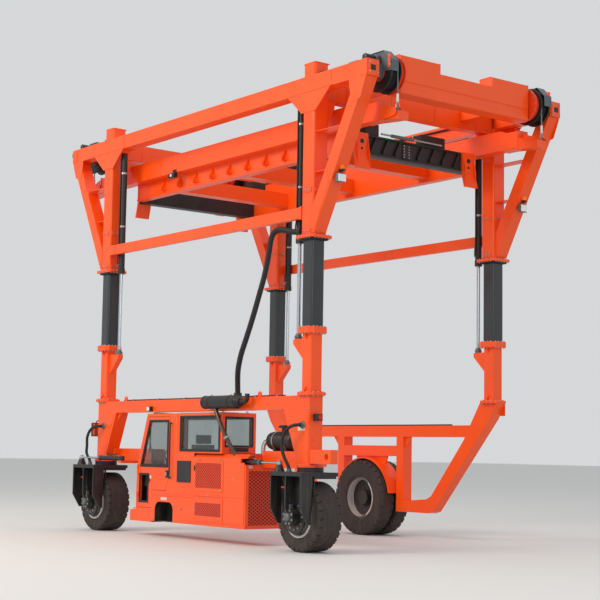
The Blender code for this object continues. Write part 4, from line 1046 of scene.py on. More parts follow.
# ------------------------------------------------------------------ legs and frame
@dataclass
class Leg:
    """One leg: bolted foot, orange column, charcoal mast and the chrome lift rod beside it."""

    side: Side
    end: End
    foot: float = 2.2703
    head: float = 3.1203
    mast: float = 3.2103

    def build(self) -> None:
        """Dress the leg, its flanges and its rod."""
        x, y = self.end.value * HALF_BASE, self.side.value * HALF_TRACK
        tag = f"{self.side.name.lower()}_{self.end.name.lower()}"
        body = "driver_chassis" if self.side is Side.DRIVER else "far_chassis"
        leg = Shape(ORANGE)
        from_node(
            leg, f"leg_{tag}", 0.005, lambda p: CHARCOAL if p.z > self.mast + 0.001 else ORANGE
        )
        leg.use(ZINC)
        leg.bolts(square_row(x, y, self.foot, 0.145, 3), (0, 0, 1), 0.011, 0.013)
        leg.bolts(square_row(x, y, self.mast, 0.150, 4), (0, 0, 1), 0.011, 0.013)
        leg.bolts(square_row(x, y, self.head, 0.150, 4), (0, 0, -1), 0.011, 0.014)
        leg.use(ORANGE)
        for lean in (-1, 1):
            near, far = y + lean * 0.105, y + lean * 0.162
            leg.slab(
                [(near, self.head), (far, self.head), (near, self.head - 0.10)], x - 0.006,
                x + 0.006, Axis.X, 0.002
            )
            leg.slab(
                [(near, self.foot), (far, self.foot), (near, self.foot + 0.10)], x - 0.006,
                x + 0.006, Axis.X, 0.002
            )
        leg.ring(
            [
                (x - 0.121, y - 0.121), (x + 0.121, y - 0.121), (x + 0.121, y + 0.121),
                (x - 0.121, y + 0.121)
            ],
            0.012, self.foot - 0.002, self.foot + 0.012, Axis.Z, 0.005
        )
        leg.done(f"leg_dressed_{tag}", body, "orange_paint", f"leg_{tag}")
        self.rod(x, y, tag, body)

    def rod(self, x: float, y: float, tag: str, body: str) -> None:
        """Dress the chrome rod with its eye, pin and keeper."""
        inward = -self.end.value
        rx = x + inward * 0.33
        seat = 3.0506
        rod = Shape(CHROME)
        rod.rod((rx, y, seat + 0.075), (rx, y, 5.30), 0.030, 32)
        rod.use(GREY_CAST)
        rod.turned(
            [
                (0.0, seat), (0.050, seat), (0.052, seat + 0.02), (0.048, seat + 0.06),
                (0.034, seat + 0.084), (0.0, seat + 0.084)
            ],
            (rx, y, 0), (0, 0, 1), 28
        )
        rod.use(ZINC)
        rod.rod((rx, y - 0.062, seat + 0.03), (rx, y + 0.062, seat + 0.03), 0.014, 16, 0.002)
        rod.bolts([(rx, y + 0.062, seat + 0.03)], (0, 1, 0), 0.012, 0.012)
        rod.bolts([(rx, y - 0.062, seat + 0.03)], (0, -1, 0), 0.012, 0.012)
        rod.done(f"lift_rod_dressed_{tag}", body, "chrome", f"lift_rod_{tag}")


@dataclass
class CornerFrame:
    """Sleeve round a mast, its V brace and gusset, and the lift cylinder's barrel beside it."""

    side: Side
    end: End
    foot: float = 4.50
    top: float = 6.6597

    def build(self) -> None:
        """Dress the welded corner, its wear pad screws, seal and lamps."""
        sx, sy = self.end.value, self.side.value
        x, y = sx * HALF_BASE, sy * HALF_TRACK
        tag = f"{self.side.name.lower()}_{self.end.name.lower()}"
        corner = Shape(ORANGE)
        from_node(corner, f"corner_frame_{tag}", 0.005)
        out = sy * BEAM_OUT
        corner.slab(
            [
                (sx * 3.02, 4.60), (sx * 3.10, 4.66), (sx * 3.40, 5.30), (sx * 3.30, 5.44),
                (sx * 3.02, 4.97)
            ],
            *sorted((out, out + sy * 0.006)), Axis.Y, 0.002
        )
        corner.slab(
            [
                (x - 0.50, self.top - 0.002), (x + 0.50, self.top - 0.002),
                (x + 0.16, self.top - 0.30), (x - 0.16, self.top - 0.30)
            ],
            *sorted((out, out + sy * 0.007)), Axis.Y, 0.002
        )
        corner.slab(
            [
                (sx * 3.80, self.top - 0.002), (sx * 4.18, self.top - 0.002),
                (sx * 4.06, self.top - 0.30), (sx * 3.86, self.top - 0.34)
            ],
            *sorted((out, out + sy * 0.006)), Axis.Y, 0.002
        )
        wall = sy * (HALF_TRACK - 0.135)
        corner.slab(
            [(wall, 6.559), (sy * 1.565, 6.559), (sy * 1.565, 6.46), (wall, 6.12)], x - 0.095,
            x + 0.095, Axis.X, 0.005
        )
        for z in (5.45, 6.05):
            corner.box(
                (sx * 3.021, y - 0.10, z),
                (sx * (3.021 + (z - 4.97) * 0.542), y + 0.10, z + 0.012), 0.003
            )
        self.adjusters(corner, x, y)
        self.seal(corner, x, y)
        corner.done(f"corner_dressed_{tag}", "upper_frame", "orange_paint", f"corner_frame_{tag}")
        self.barrel(x - sx * 0.33, y, tag)
        if self.end is End.REAR:
            self.lamps(sx, sy, tag)

    def adjusters(self, corner: Shape, x: float, y: float) -> None:
        """Add the wear pad housings and set screws on all four faces, low and half way up."""
        for z in (4.60, 5.20):
            for face in (-1, 1):
                corner.use(ORANGE)
                corner.box(
                    (x - 0.10, y + face * 0.133, z - 0.035),
                    (x + 0.10, y + face * 0.147, z + 0.035), 0.006
                )
                corner.box(
                    (x + face * 0.133, y - 0.10, z - 0.035),
                    (x + face * 0.147, y + 0.10, z + 0.035), 0.006
                )
                corner.use(ZINC)
                rows = (-0.066, 0.0, 0.066)
                corner.bolts(
                    [(x + r, y + face * 0.147, z) for r in rows], (0, face, 0), 0.011, 0.016
                )
                corner.bolts(
                    [(x + face * 0.147, y + r, z) for r in rows], (face, 0, 0), 0.011, 0.016
                )
        corner.bolts(square_row(x, y, self.foot + 0.04, 0.18, 5), (0, 0, 1), 0.010, 0.013)
        corner.bolts(square_row(x, y, self.foot, 0.18, 5), (0, 0, -1), 0.010, 0.014)

    def seal(self, corner: Shape, x: float, y: float) -> None:
        """Add the wiper seal and its clamping frame under the sleeve."""
        half = 0.150
        square = [
            (x - half, y - half), (x + half, y - half), (x + half, y + half), (x - half, y + half)
        ]
        corner.use(RUBBER).ring(square, 0.030, self.foot - 0.030, self.foot - 0.001, Axis.Z, 0.004)

    def barrel(self, rx: float, y: float, tag: str) -> None:
        """Dress the lift cylinder's barrel with its gland, hose bends and clamps."""
        barrel = Shape(BLACK)
        barrel.turned(
            [
                (0.0307, 4.470), (0.063, 4.470), (0.063, 4.555), (0.055, 4.562), (0.055, 6.600),
                (0.0, 6.600), (0.0, 6.57), (0.043, 6.57), (0.043, 4.54), (0.0307, 4.54)
            ],
            (rx, y, 0), (0, 0, 1), 36
        )
        barrel.use(GREY_CAST)
        barrel.turned(
            [(0.0308, 4.462), (0.050, 4.462), (0.052, 4.4699), (0.0308, 4.4699)], (rx, y, 0),
            (0, 0, 1), 28
        )
        barrel.use(ZINC)
        barrel.rod((rx, y + 0.05, 4.62), (rx, y + 0.088, 4.62), 0.014, 12)
        for z in (5.3, 6.25):
            barrel.turned(
                [(0.054, z - 0.015), (0.061, z - 0.015), (0.061, z + 0.015), (0.054, z + 0.015)],
                (rx, y, 0), (0, 0, 1), 28
            )
        barrel.use(RUBBER)
        lean = 0.085
        barrel.pipe(
            [
                (rx, y + lean, 4.62), (rx, y + lean, 4.72), (rx, y + 0.068, 4.9),
                (rx, y + 0.068, 5.6), (rx, y + 0.068, 6.40), (rx, y + 0.066, 6.52)
            ],
            0.011, 5
        )
        barrel.done(
            f"lift_barrel_dressed_{tag}", "upper_frame", "black_paint", f"lift_barrel_{tag}"
        )

    def lamps(self, sx: int, sy: int, tag: str) -> None:
        """Make the beacon and the work lamp on the rear brace."""
        lamp = Shape(BLACK)
        x, z, y = sx * 3.46, 5.40, sy * (BEAM_OUT - 0.11)
        lamp.box((x - 0.01, y - 0.03, z), (x - sx * 0.0 + sx * 0.10, y + 0.03, z + 0.008), 0.002)
        spot = (x + sx * 0.085, y, z + 0.0)
        lamp.rod((spot[0], y, z + 0.006), (spot[0], y, z + 0.030), 0.040, 24, 0.003)
        lamp.use(AMBER).turned(
            [(0.0, 0.030), (0.036, 0.030), (0.035, 0.075), (0.028, 0.092), (0.0, 0.097)],
            (spot[0], y, z), (0, 0, 1), 28
        )
        lamp.use(GREY_CAST).box(
            (x + sx * 0.02, y - 0.078, z - 0.155), (x + sx * 0.08, y + 0.078, z - 0.03), 0.012
        )
        lamp.box((x - sx * 0.05, y - 0.01, z - 0.10), (x + sx * 0.03, y + 0.01, z - 0.06), 0.002)
        lamp.use(CLEAR_LENS).box(
            (x + sx * 0.079, y - 0.068, z - 0.145), (x + sx * 0.090, y + 0.068, z - 0.04), 0.003
        )
        lamp.done(f"brace_lamps_{tag}", "upper_frame", "black_paint")


@dataclass
class TopBeams:
    """Long top beams with leg caps, the mid beams and the cross beams."""

    foot: float = 6.66
    top: float = 6.90

    def build(self) -> None:
        """Dress all the beams of the moving frame."""
        for side in Side:
            self.long_beam(side)
            self.mid_beam(side)
        for end in End:
            name = end.name.lower()
            beam = from_node(Shape(ORANGE), f"cross_beam_{name}", 0.006)
            x = end.value * HALF_BASE
            for y in (-1.35, -0.45, 0.45, 1.35):
                beam.box((x - 0.108, y - 0.006, 6.565), (x + 0.108, y + 0.006, 6.845), 0.002)
            beam.use(RUBBER).pipe(
                [
                    (x - 0.02, -1.66, 6.862), (x - 0.02, -0.6, 6.862), (x - 0.02, 0.6, 6.862),
                    (x - 0.02, 1.66, 6.862)
                ],
                0.012, 4
            )
            beam.use(ZINC)
            beam.bolts(
                [(x + end.value * 0.1, y, 6.62) for y in (-1.62, 1.62)], (end.value, 0, 0), 0.012,
                0.012
            )
            beam.done(
                f"cross_beam_dressed_{name}", "upper_frame", "orange_paint", f"cross_beam_{name}"
            )

    def long_beam(self, side: Side) -> None:
        """Dress one top beam with its splice plates, caps, lugs and service lines."""
        sy = side.value
        name = side.name.lower()
        beam = from_node(
            Shape(ORANGE), f"top_beam_{name}", 0.007, lambda p: GUARD
            if abs(p.y) < 1.7595 and abs(p.x) > 3.9 else ORANGE
        )
        beam.use(ORANGE)
        out = sy * BEAM_OUT
        for sx in (-1, 1):
            x = sx * HALF_BASE
            near, far = sorted((out, out + sy * 0.007))
            beam.slab(
                [
                    (x - 0.55, self.foot + 0.002), (x + 0.55, self.foot + 0.002),
                    (x + 0.50, self.top - 0.01), (x - 0.50, self.top - 0.01)
                ],
                near, far, Axis.Y, 0.002
            )
            beam.box(
                (sx * 4.05, near, self.foot + 0.01), (sx * 4.195, far, self.top - 0.01), 0.002
            )
            beam.box(
                (sx * 4.2, sy * 1.78, self.foot + 0.005),
                (sx * 4.212, sy * 1.965, self.top - 0.005), 0.002
            )
            beam.use(ZINC).bolts(
                [
                    (sx * 4.212, sy * (1.80 + 0.145 * (i % 2)), self.foot + 0.05 + 0.14 * (i // 2))
                    for i in range(4)
                ],
                (sx, 0, 0), 0.011, 0.012
            )
            # Thin black patch on the end cap: painted shade standing for a dark hole.
            beam.use(BLACK).box(
                (sx * 4.2105, sy * 1.835, self.foot + 0.075),
                (sx * 4.2135, sy * 1.925, self.foot + 0.155), 0.001
            )
            beam.use(ORANGE).box(
                (x - 0.142, sy * 1.705, 7.085), (x + 0.142, sy * 1.975, 7.0995), 0.004
            )
            beam.use(BLACK).box(
                (x + sx * 0.16, sy * 1.80, self.top), (x + sx * 0.26, sy * 1.92, self.top + 0.045),
                0.006
            )
            beam.use(ORANGE)
            beam.slab(
                [
                    (x - sx * 0.25, self.top - 0.002), (x - sx * 0.35, self.top - 0.002),
                    (x - sx * 0.33, self.top + 0.07), (x - sx * 0.27, self.top + 0.07)
                ],
                sy * 1.80 - 0.008, sy * 1.80 + 0.008, Axis.Y, 0.002
            )
        beam.use(RUBBER)
        for lane in (0.0, 0.028):
            inner = sy * (1.761 - 0.013 - lane)
            beam.pipe(
                [
                    (-3.7, inner, 6.84), (-2.0, inner, 6.83), (0.0, inner, 6.84),
                    (2.0, inner, 6.83), (3.7, inner, 6.84)
                ],
                0.012, 6
            )
        beam.use(ZINC)
        for x in (-3.3, -2.2, -1.1, 0.0, 1.1, 2.2, 3.3):
            beam.box((x - 0.012, sy * 1.70, 6.815), (x + 0.012, sy * 1.765, 6.862), 0.003)
        if side is Side.DRIVER:
            beam.use(BLACK).pipe(
                [
                    (4.20, 1.90, 6.78), (4.26, 1.91, 6.78), (4.305, 1.92, 6.80),
                    (4.312, 1.92, 6.84), (4.30, 1.92, 6.875)
                ],
                0.014, 5
            )
            beam.box((4.212, 1.80, 6.70), (4.26, 1.88, 6.76), 0.008)
        beam.done(f"top_beam_dressed_{name}", "upper_frame", "orange_paint", f"top_beam_{name}")

    def mid_beam(self, side: Side) -> None:
        """Dress one mid beam with its end plates."""
        sy = side.value
        name = side.name.lower()
        beam = from_node(Shape(ORANGE), f"mid_beam_{name}", 0.006)
        out = sy * BEAM_OUT
        for sx in (-1, 1):
            beam.box((sx * 2.735, sy * 1.895, 4.785), (sx * 2.7505, sy * 1.987, 4.985), 0.002)
            beam.use(ZINC).bolts(
                [(sx * 2.735, sy * 1.90 + 0.0, z) for z in (4.80, 4.97)], (-sx, 0, 0), 0.008, 0.010
            )
            beam.use(ORANGE)
            beam.slab([(sx * 2.74, 4.79), (sx * 2.55, 4.82), (sx * 2.55, 4.95), (sx * 2.74, 4.98)],
                      *sorted((out, out + sy * 0.005)), Axis.Y, 0.0015)
        beam.done(f"mid_beam_dressed_{name}", "upper_frame", "orange_paint", f"mid_beam_{name}")


@dataclass
class Winch:
    """Winch beam, its covers and motors, the two drums on their shaft and the ropes."""

    end: End
    x: float = 4.033
    z: float = 6.78
    rope_y: float = 1.478
    drum: float = 0.2298

    def build(self) -> None:
        """Dress the beam, drums, motors and ropes."""
        sx = self.end.value
        name = self.end.name.lower()
        beam = from_node(Shape(ORANGE), f"winch_beam_{name}", 0.008)
        out = sx * 4.14
        for y0, y1 in ((-1.32, -0.53), (0.53, 1.32)):
            for y in (y0, (y0 + y1) / 2, y1):
                beam.box((sx * 3.885, y - 0.006, 7.074), (sx * 4.135, y + 0.006, 7.084), 0.002)
        cover = [
            (-1.32, 6.75), (-1.305, 6.715), (-1.27, 6.70), (1.27, 6.70), (1.305, 6.715),
            (1.32, 6.75), (1.32, 7.072), (0.535, 7.072), (0.535, 6.924), (-0.535, 6.924),
            (-0.535, 7.072), (-1.32, 7.072)
        ]
        beam.slab(cover, *sorted((out, out + sx * 0.012)), Axis.X, 0.004)
        beam.box((out - sx * 0.002, -1.31, 6.525), (out + sx * 0.008, 1.31, 6.60), 0.003)
        beam.use(ZINC)
        for y in (-1.22, -0.65, 0.65, 1.22):
            beam.bolts([(sx * 4.0, y, 7.0752)], (0, 0, 1), 0.009, 0.009)
        beam.done(
            f"winch_beam_dressed_{name}", "upper_frame", "orange_paint", f"winch_beam_{name}"
        )
        self.drums(sx, name)
        self.motors(sx, name)
        for side in Side:
            self.rope(side, sx, name)

    def drums(self, sx: int, name: str) -> None:
        """Make both drums with their laid rope, flanges and hub discs."""
        drums = Shape(BLACK)
        inner, outer, flange = self.rope_y - 0.125, self.rope_y + 0.125, 0.018
        seat = inner + 0.082
        for sy in (-1, 1):
            hub = (sx * self.x, 0, self.z)
            drums.use(ORANGE_DEEP).turned(
                [
                    (0.042, inner - flange), (0.260, inner - flange), (0.264, inner - 0.014),
                    (0.264, inner), (0.228, inner + 0.004), (0.228, seat), (0.042, seat)
                ],
                hub, (0, sy, 0), 56
            )
            for near in (seat, outer):
                far = near + flange
                drums.use(BLACK).turned(
                    [
                        (0.042, near), (0.280, near), (0.285, near + 0.005), (0.285, far - 0.005),
                        (0.280, far), (0.042, far)
                    ],
                    hub, (0, sy, 0), 56
                )
            drums.use(GREASED_ROPE)
            wraps = 8
            pitch = (outer - seat - flange) / wraps
            profile = [(0.20, seat + flange)]
            for i in range(wraps):
                for step in range(5):
                    swell = math.sin(math.pi * (step + 0.5) / 5)
                    profile.append(
                        (
                            self.drum - 0.012 + 0.011 * swell,
                            seat + flange + pitch * (i + (step + 0.5) / 5)
                        )
                    )
            profile.append((0.20, outer))
            drums.turned(profile, hub, (0, sy, 0), 56)
            drums.use(ORANGE_DEEP).turned(
                [
                    (0.042, outer + flange - 0.001), (0.130, outer + flange - 0.001),
                    (0.130, outer + flange + 0.008), (0.042, outer + flange + 0.008)
                ],
                hub, (0, sy, 0), 36
            )
            drums.use(ZINC).bolts(
                circle((hub[0], sy * (outer + flange + 0.008), self.z), 0.105, 8, Axis.Y),
                (0, sy, 0), 0.011, 0.010
            )
            drums.bolts(
                circle((hub[0], sy * (inner - flange), self.z), 0.243, 16, Axis.Y), (0, -sy, 0),
                0.010, 0.008
            )
        drums.use(GREY_CAST).rod(
            (sx * self.x, -1.70, self.z), (sx * self.x, 1.70, self.z), 0.040, 28
        )
        drums.done(f"drums_dressed_{name}", f"drums_{name}", "black_paint", f"winch_drums_{name}")

    def motors(self, sx: int, name: str) -> None:
        """Make the hydraulic motors, rope guards and hoses at the drums."""
        pump_z, motor_z = 6.905, 6.962
        motor = Shape(GREY_CAST)
        for sy in (-1, 1):
            y0 = sy * 1.66
            base = sx * (self.x - 0.40)
            motor.use(GREY_CAST)
            motor.rod((base, sy * 1.52, pump_z), (base, sy * 1.74, pump_z), 0.075, 28, 0.006)
            motor.rod((base, sy * 1.44, pump_z), (base, sy * 1.53, pump_z), 0.055, 24, 0.006)
            motor.box((base - 0.05, sy * 1.45, 6.94), (base + 0.05, sy * 1.55, 7.02), 0.008)
            motor.use(BLACK)
            motor.slab(
                [
                    (base - 0.13, 6.79), (sx * (self.x - 0.05), 6.79),
                    (sx * (self.x - 0.05), 6.84), (base + 0.10, 7.0), (base - 0.10, 7.0)
                ],
                *sorted((y0 + sy * 0.075, y0 + sy * 0.095)), Axis.Y, 0.004
            )
            mid = sx * self.x
            outer = [
                (-0.285, 6.76), (-0.285, 6.92), (-0.13, 7.075), (0.13, 7.075), (0.285, 6.92),
                (0.285, 6.80)
            ]
            inner = [
                (0.275, 6.80), (0.275, 6.915), (0.125, 7.065), (-0.125, 7.065), (-0.275, 6.915),
                (-0.275, 6.76)
            ]
            motor.use(GUARD)
            motor.slab(
                [(mid + px, pz) for px, pz in outer + inner], *sorted((sy * 1.50, sy * 1.655)),
                Axis.Y, 0.003
            )
            motor.slab(
                [(mid + px, pz) for px, pz in outer], *sorted((sy * 1.632, sy * 1.640)), Axis.Y,
                0.002
            )
            motor.use(ZINC).bolts(
                [(mid + px, sy * 1.655, pz) for px, pz in ((-0.28, 6.84), (0.28, 6.86))],
                (0, sy, 0), 0.008, 0.008
            )
            motor.use(GREY_CAST).rod(
                (mid, sy * 1.652, motor_z), (mid, sy * 1.72, motor_z), 0.066, 28, 0.006
            )
            motor.use(BLACK).rod(
                (mid, sy * 1.719, motor_z), (mid, sy * 1.90, motor_z), 0.052, 24, 0.008
            )
            motor.box((mid - 0.085, sy * 1.74, 6.9003), (mid + 0.085, sy * 1.86, 6.925), 0.005)
            motor.use(ORANGE).box(
                (sx * 4.255, sy * 1.60, 6.80), (sx * 4.295, sy * 1.652, 7.00), 0.004
            )
            motor.use(ZINC).bolts(
                circle((mid, sy * 1.90, motor_z), 0.036, 6, Axis.Y), (0, sy, 0), 0.006, 0.006
            )
            motor.use(ZINC).bolts(
                circle((base, sy * 1.44, pump_z), 0.038, 5, Axis.Y), (0, -sy, 0), 0.007, 0.008
            )
            motor.use(RUBBER)
            for lean in (-0.025, 0.025):
                motor.pipe(
                    [
                        (base + lean, sy * 1.50, 7.02), (base + lean, sy * 1.50, 7.06),
                        (base - sx * 0.10 + lean, sy * 1.55, 7.075),
                        (base - sx * 0.30, sy * 1.68, 7.0), (base - sx * 0.42, sy * 1.735, 6.87)
                    ],
                    0.013, 6
                )
        motor.done(f"winch_motors_{name}", "upper_frame", "black_paint")

    def rope(self, side: Side, sx: int, name: str) -> None:
        """Make one fall of rope with its white sleeve, thimble and shackle."""
        sy = side.value
        tag = f"{side.name.lower()}_{name}"
        x, y = sx * 4.2735, sy * self.rope_y
        line = Shape(STEEL_ROPE)
        part = bmesh.new()
        bmesh.ops.create_circle(part, cap_ends=True, segments=18, radius=0.0104,
                                matrix=Matrix.Translation((x, y, 6.44)))
        last = list(part.faces)
        strands = 34
        for _ in range(strands):
            pushed = bmesh.ops.extrude_face_region(part, geom=last)["geom"]
            last = [item for item in pushed if isinstance(item, bmesh.types.BMFace)]
            moved = [item for item in pushed if isinstance(item, bmesh.types.BMVert)]
            bmesh.ops.translate(part, verts=moved, vec=(0, 0, (self.z - 6.44) / strands))
            bmesh.ops.rotate(
                part, verts=moved, cent=(x, y, 0), matrix=Matrix.Rotation(0.35, 3, "Z")
            )
        for vert in part.verts:
            offset = Vector((vert.co.x - x, vert.co.y - y, 0))
            turn = math.atan2(offset.y, offset.x) - (vert.co.z - 6.44) * 35.0
            vert.co.x -= offset.x * 0.16 * (1 + math.cos(turn * 6)) / 2
            vert.co.y -= offset.y * 0.16 * (1 + math.cos(turn * 6)) / 2
        bmesh.ops.recalc_face_normals(part, faces=part.faces)
        line.take(part)
        made = line.done(f"rope_{tag}", None, "steel_rope", f"hoist_rope_{tag}", smooth=60)
        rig.blend(made, "upper_frame", "spreader", start=(x, y, self.z - 0.02), end=(x, y, 6.45))
        hook = Shape(WHITE_SLEEVE)
        hook.turned(
            [
                (0.0, 6.33), (0.014, 6.33), (0.019, 6.342), (0.0195, 6.43), (0.015, 6.452),
                (0.0, 6.452)
            ],
            (x, y, 0), (0, 0, 1), 22
        )
        hook.use(ZINC)
        loop = [
            (x, y - 0.008, 6.335), (x, y - 0.026, 6.29), (x, y - 0.030, 6.25),
            (x, y - 0.018, 6.222), (x, y, 6.214), (x, y + 0.018, 6.222), (x, y + 0.030, 6.25),
            (x, y + 0.026, 6.29), (x, y + 0.008, 6.335)
        ]
        hook.pipe(loop, 0.0085, 4)
        hook.use(GREY_CAST)
        for lean in (-1, 1):
            hook.box(
                (x - 0.022, y + lean * 0.018, 6.195), (x + 0.022, y + lean * 0.030, 6.262), 0.005
            )
        hook.use(ZINC).rod((x, y - 0.042, 6.240), (x, y + 0.042, 6.240), 0.011, 16, 0.002)
        hook.done(f"rope_end_{tag}", "spreader", "steel_rope")


@dataclass
class Spreader:
    """Spreader with long beams, ribbed side plates, black end beams and corner guides."""

    def build(self) -> None:
        """Dress the frame and both end beams."""
        frame_piece = from_node(Shape(ORANGE), "spreader_frame", 0.006)
        for sy in (-1, 1):
            out = sy * 1.52
            for i in range(9):
                x = -2.00 + 0.50 * i
                frame_piece.slab(
                    [
                        (sy * 1.35, 5.93), (sy * 1.435, 5.93), (sy * 1.44, 5.96),
                        (sy * 1.36, 6.105), (sy * 1.35, 6.105)
                    ],
                    x - 0.028, x + 0.028, Axis.X, 0.005
                )
                frame_piece.slab(
                    [
                        (x - 0.075, 5.94), (x - 0.03, 6.03), (x, 6.06), (x + 0.03, 6.03),
                        (x + 0.075, 5.94)
                    ],
                    *sorted((sy * 1.36, sy * 1.372)), Axis.Y, 0.002
                )
            frame_piece.box((-2.9, sy * 1.335, 5.86), (2.9, sy * 1.365, 5.885), 0.003)
            for sx in (-1, 1):
                frame_piece.slab(
                    [
                        (sx * 3.56, 6.15), (sx * 4.30, 6.09), (sx * 4.30, 6.20), (sx * 4.16, 6.20),
                        (sx * 3.56, 6.455)
                    ],
                    *sorted((out, out + sy * 0.006)), Axis.Y, 0.002
                )
                frame_piece.slab(
                    [
                        (sx * 4.20, 6.19), (sx * 4.325, 6.19), (sx * 4.315, 6.23),
                        (sx * 4.285, 6.238), (sx * 4.24, 6.238), (sx * 4.21, 6.22)
                    ],
                    *sorted((sy * 1.425, sy * 1.437)), Axis.Y, 0.003
                )
                frame_piece.box(
                    (sx * 3.54, sy * 1.312, 6.135), (sx * 3.93, sy * 1.528, 6.405), 0.008
                )
                frame_piece.box(
                    (sx * 3.925, sy * 1.305, 6.125), (sx * 3.937, sy * 1.535, 6.415), 0.003
                )
                for lean in (-0.075, 0.062):
                    lug = [
                        (sx * 3.93, 6.10), (sx * 4.27, 6.13), (sx * 4.305, 6.15),
                        (sx * 4.322, 6.19), (sx * 4.31, 6.235), (sx * 4.275, 6.255),
                        (sx * 3.93, 6.37)
                    ]
                    frame_piece.slab(
                        lug, *sorted((sy * (1.478 + lean), sy * (1.478 + lean + 0.012))), Axis.Y,
                        0.003
                    )
                frame_piece.use(ZINC).rod(
                    (sx * 4.2735, sy * 1.39, 6.205), (sx * 4.2735, sy * 1.563, 6.205), 0.016, 18,
                    0.003
                )
                frame_piece.bolts(
                    [(sx * 3.937, sy * y, z) for y in (1.33, 1.51) for z in (6.16, 6.38)],
                    (sx, 0, 0), 0.009, 0.009
                )
                frame_piece.use(ORANGE)
            frame_piece.use(RUBBER).pipe(
                [
                    (-2.8, sy * 1.36, 6.475), (-1.2, sy * 1.40, 6.473), (0.4, sy * 1.37, 6.475),
                    (2.8, sy * 1.39, 6.474)
                ],
                0.012, 8
            )
            frame_piece.use(ORANGE)
        frame_piece.use(BLACK)
        for x, y in ((-1.9, 0.55), (1.9, -0.55), (0.0, 0.0)):
            frame_piece.box((x - 0.10, y - 0.16, 6.165), (x + 0.10, y + 0.16, 6.30), 0.010)
        frame_piece.use(ORANGE).done(
            "spreader_dressed", "spreader", "orange_paint", "spreader_frame"
        )
        for end in End:
            self.end_beam(end)
        self.camera_box()

    def end_beam(self, end: End) -> None:
        """Dress a black end beam with its ribs, bolted splice, valve blocks and orange guides."""
        sx = end.value
        name = end.name.lower()
        out = sx * 3.02
        beam = Shape(BLACK)
        from_node(
            beam, f"spreader_end_{name}", 0.006, lambda p: ORANGE
            if abs(p.x) > 3.024 or (abs(p.y) > 0.98 and abs(p.x) > 3.001) else BLACK
        )
        beam.use(BLACK)
        for y in (-0.86, -0.60, -0.34, -0.08, 0.38, 0.62, 0.86):
            beam.slab(
                [
                    (y - 0.055, 6.115), (y - 0.035, 6.115), (y + 0.055, 5.93), (y + 0.055, 5.90),
                    (y + 0.030, 5.90)
                ],
                *sorted((out, out + sx * 0.042)), Axis.X, 0.0015
            )
        beam.box((out - sx * 0.002, -0.96, 5.845), (out + sx * 0.05, 0.96, 5.860), 0.002)
        beam.box((out - sx * 0.002, -0.96, 6.125), (out + sx * 0.03, 0.96, 6.145), 0.002)
        beam.box((out - sx * 0.15, 0.72, 6.16), (out - sx * 0.01, 1.00, 6.34), 0.012)
        beam.box((out - sx * 0.15, -0.65, 6.16), (out - sx * 0.01, -0.15, 6.33), 0.012)
        beam.box((out, 0.10, 5.88), (out + sx * 0.012, 0.26, 6.11), 0.003)
        beam.use(ZINC)
        rows = [
            (out + sx * 0.012, 0.13 + 0.10 * c, 5.91 + 0.043 * r) for c in range(2)
            for r in range(5)
        ]
        beam.bolts(rows, (sx, 0, 0), 0.009, 0.010)
        beam.rod((out + sx * 0.02, -0.55, 6.20), (out + sx * 0.02, 0.70, 6.20), 0.014, 14)
        beam.use(GREY_CAST).rod(
            (out + sx * 0.02, 0.05, 6.20), (out + sx * 0.02, 0.50, 6.20), 0.026, 20, 0.003
        )
        beam.use(ORANGE)
        for sy in (-1, 1):
            edge_y = sy * 1.105
            for lean in (-0.11, 0.11):
                beam.slab(
                    [
                        (sx * 3.06, 6.13), (sx * 3.068, 6.13), (sx * 3.125, 5.84),
                        (sx * 3.122, 5.66), (sx * 3.08, 5.80), (sx * 3.06, 5.86)
                    ],
                    edge_y + lean - 0.006, edge_y + lean + 0.006, Axis.Y, 0.0015
                )
            beam.use(BLACK).rod((sx * 3.071, edge_y, 6.03), (sx * 3.075, edge_y, 6.03), 0.035, 24)
            beam.rod((sx * 3.071, edge_y, 5.92), (sx * 3.075, edge_y, 5.92), 0.020, 20)
            beam.use(ORANGE)
        beam.done(f"end_beam_dressed_{name}", "spreader", "black_paint", f"spreader_end_{name}")

    def camera_box(self) -> None:
        """Make the small camera and lamp on the driver's side of the spreader."""
        box = Shape(BLACK)
        box.box((1.32, 1.52, 6.05), (1.50, 1.60, 6.13), 0.008)
        box.box((1.36, 1.50, 6.10), (1.46, 1.535, 6.20), 0.004)
        box.use(CLEAR_LENS).rod((1.41, 1.598, 6.09), (1.41, 1.606, 6.09), 0.026, 20)
        box.done("spreader_camera", "spreader", "black_paint")


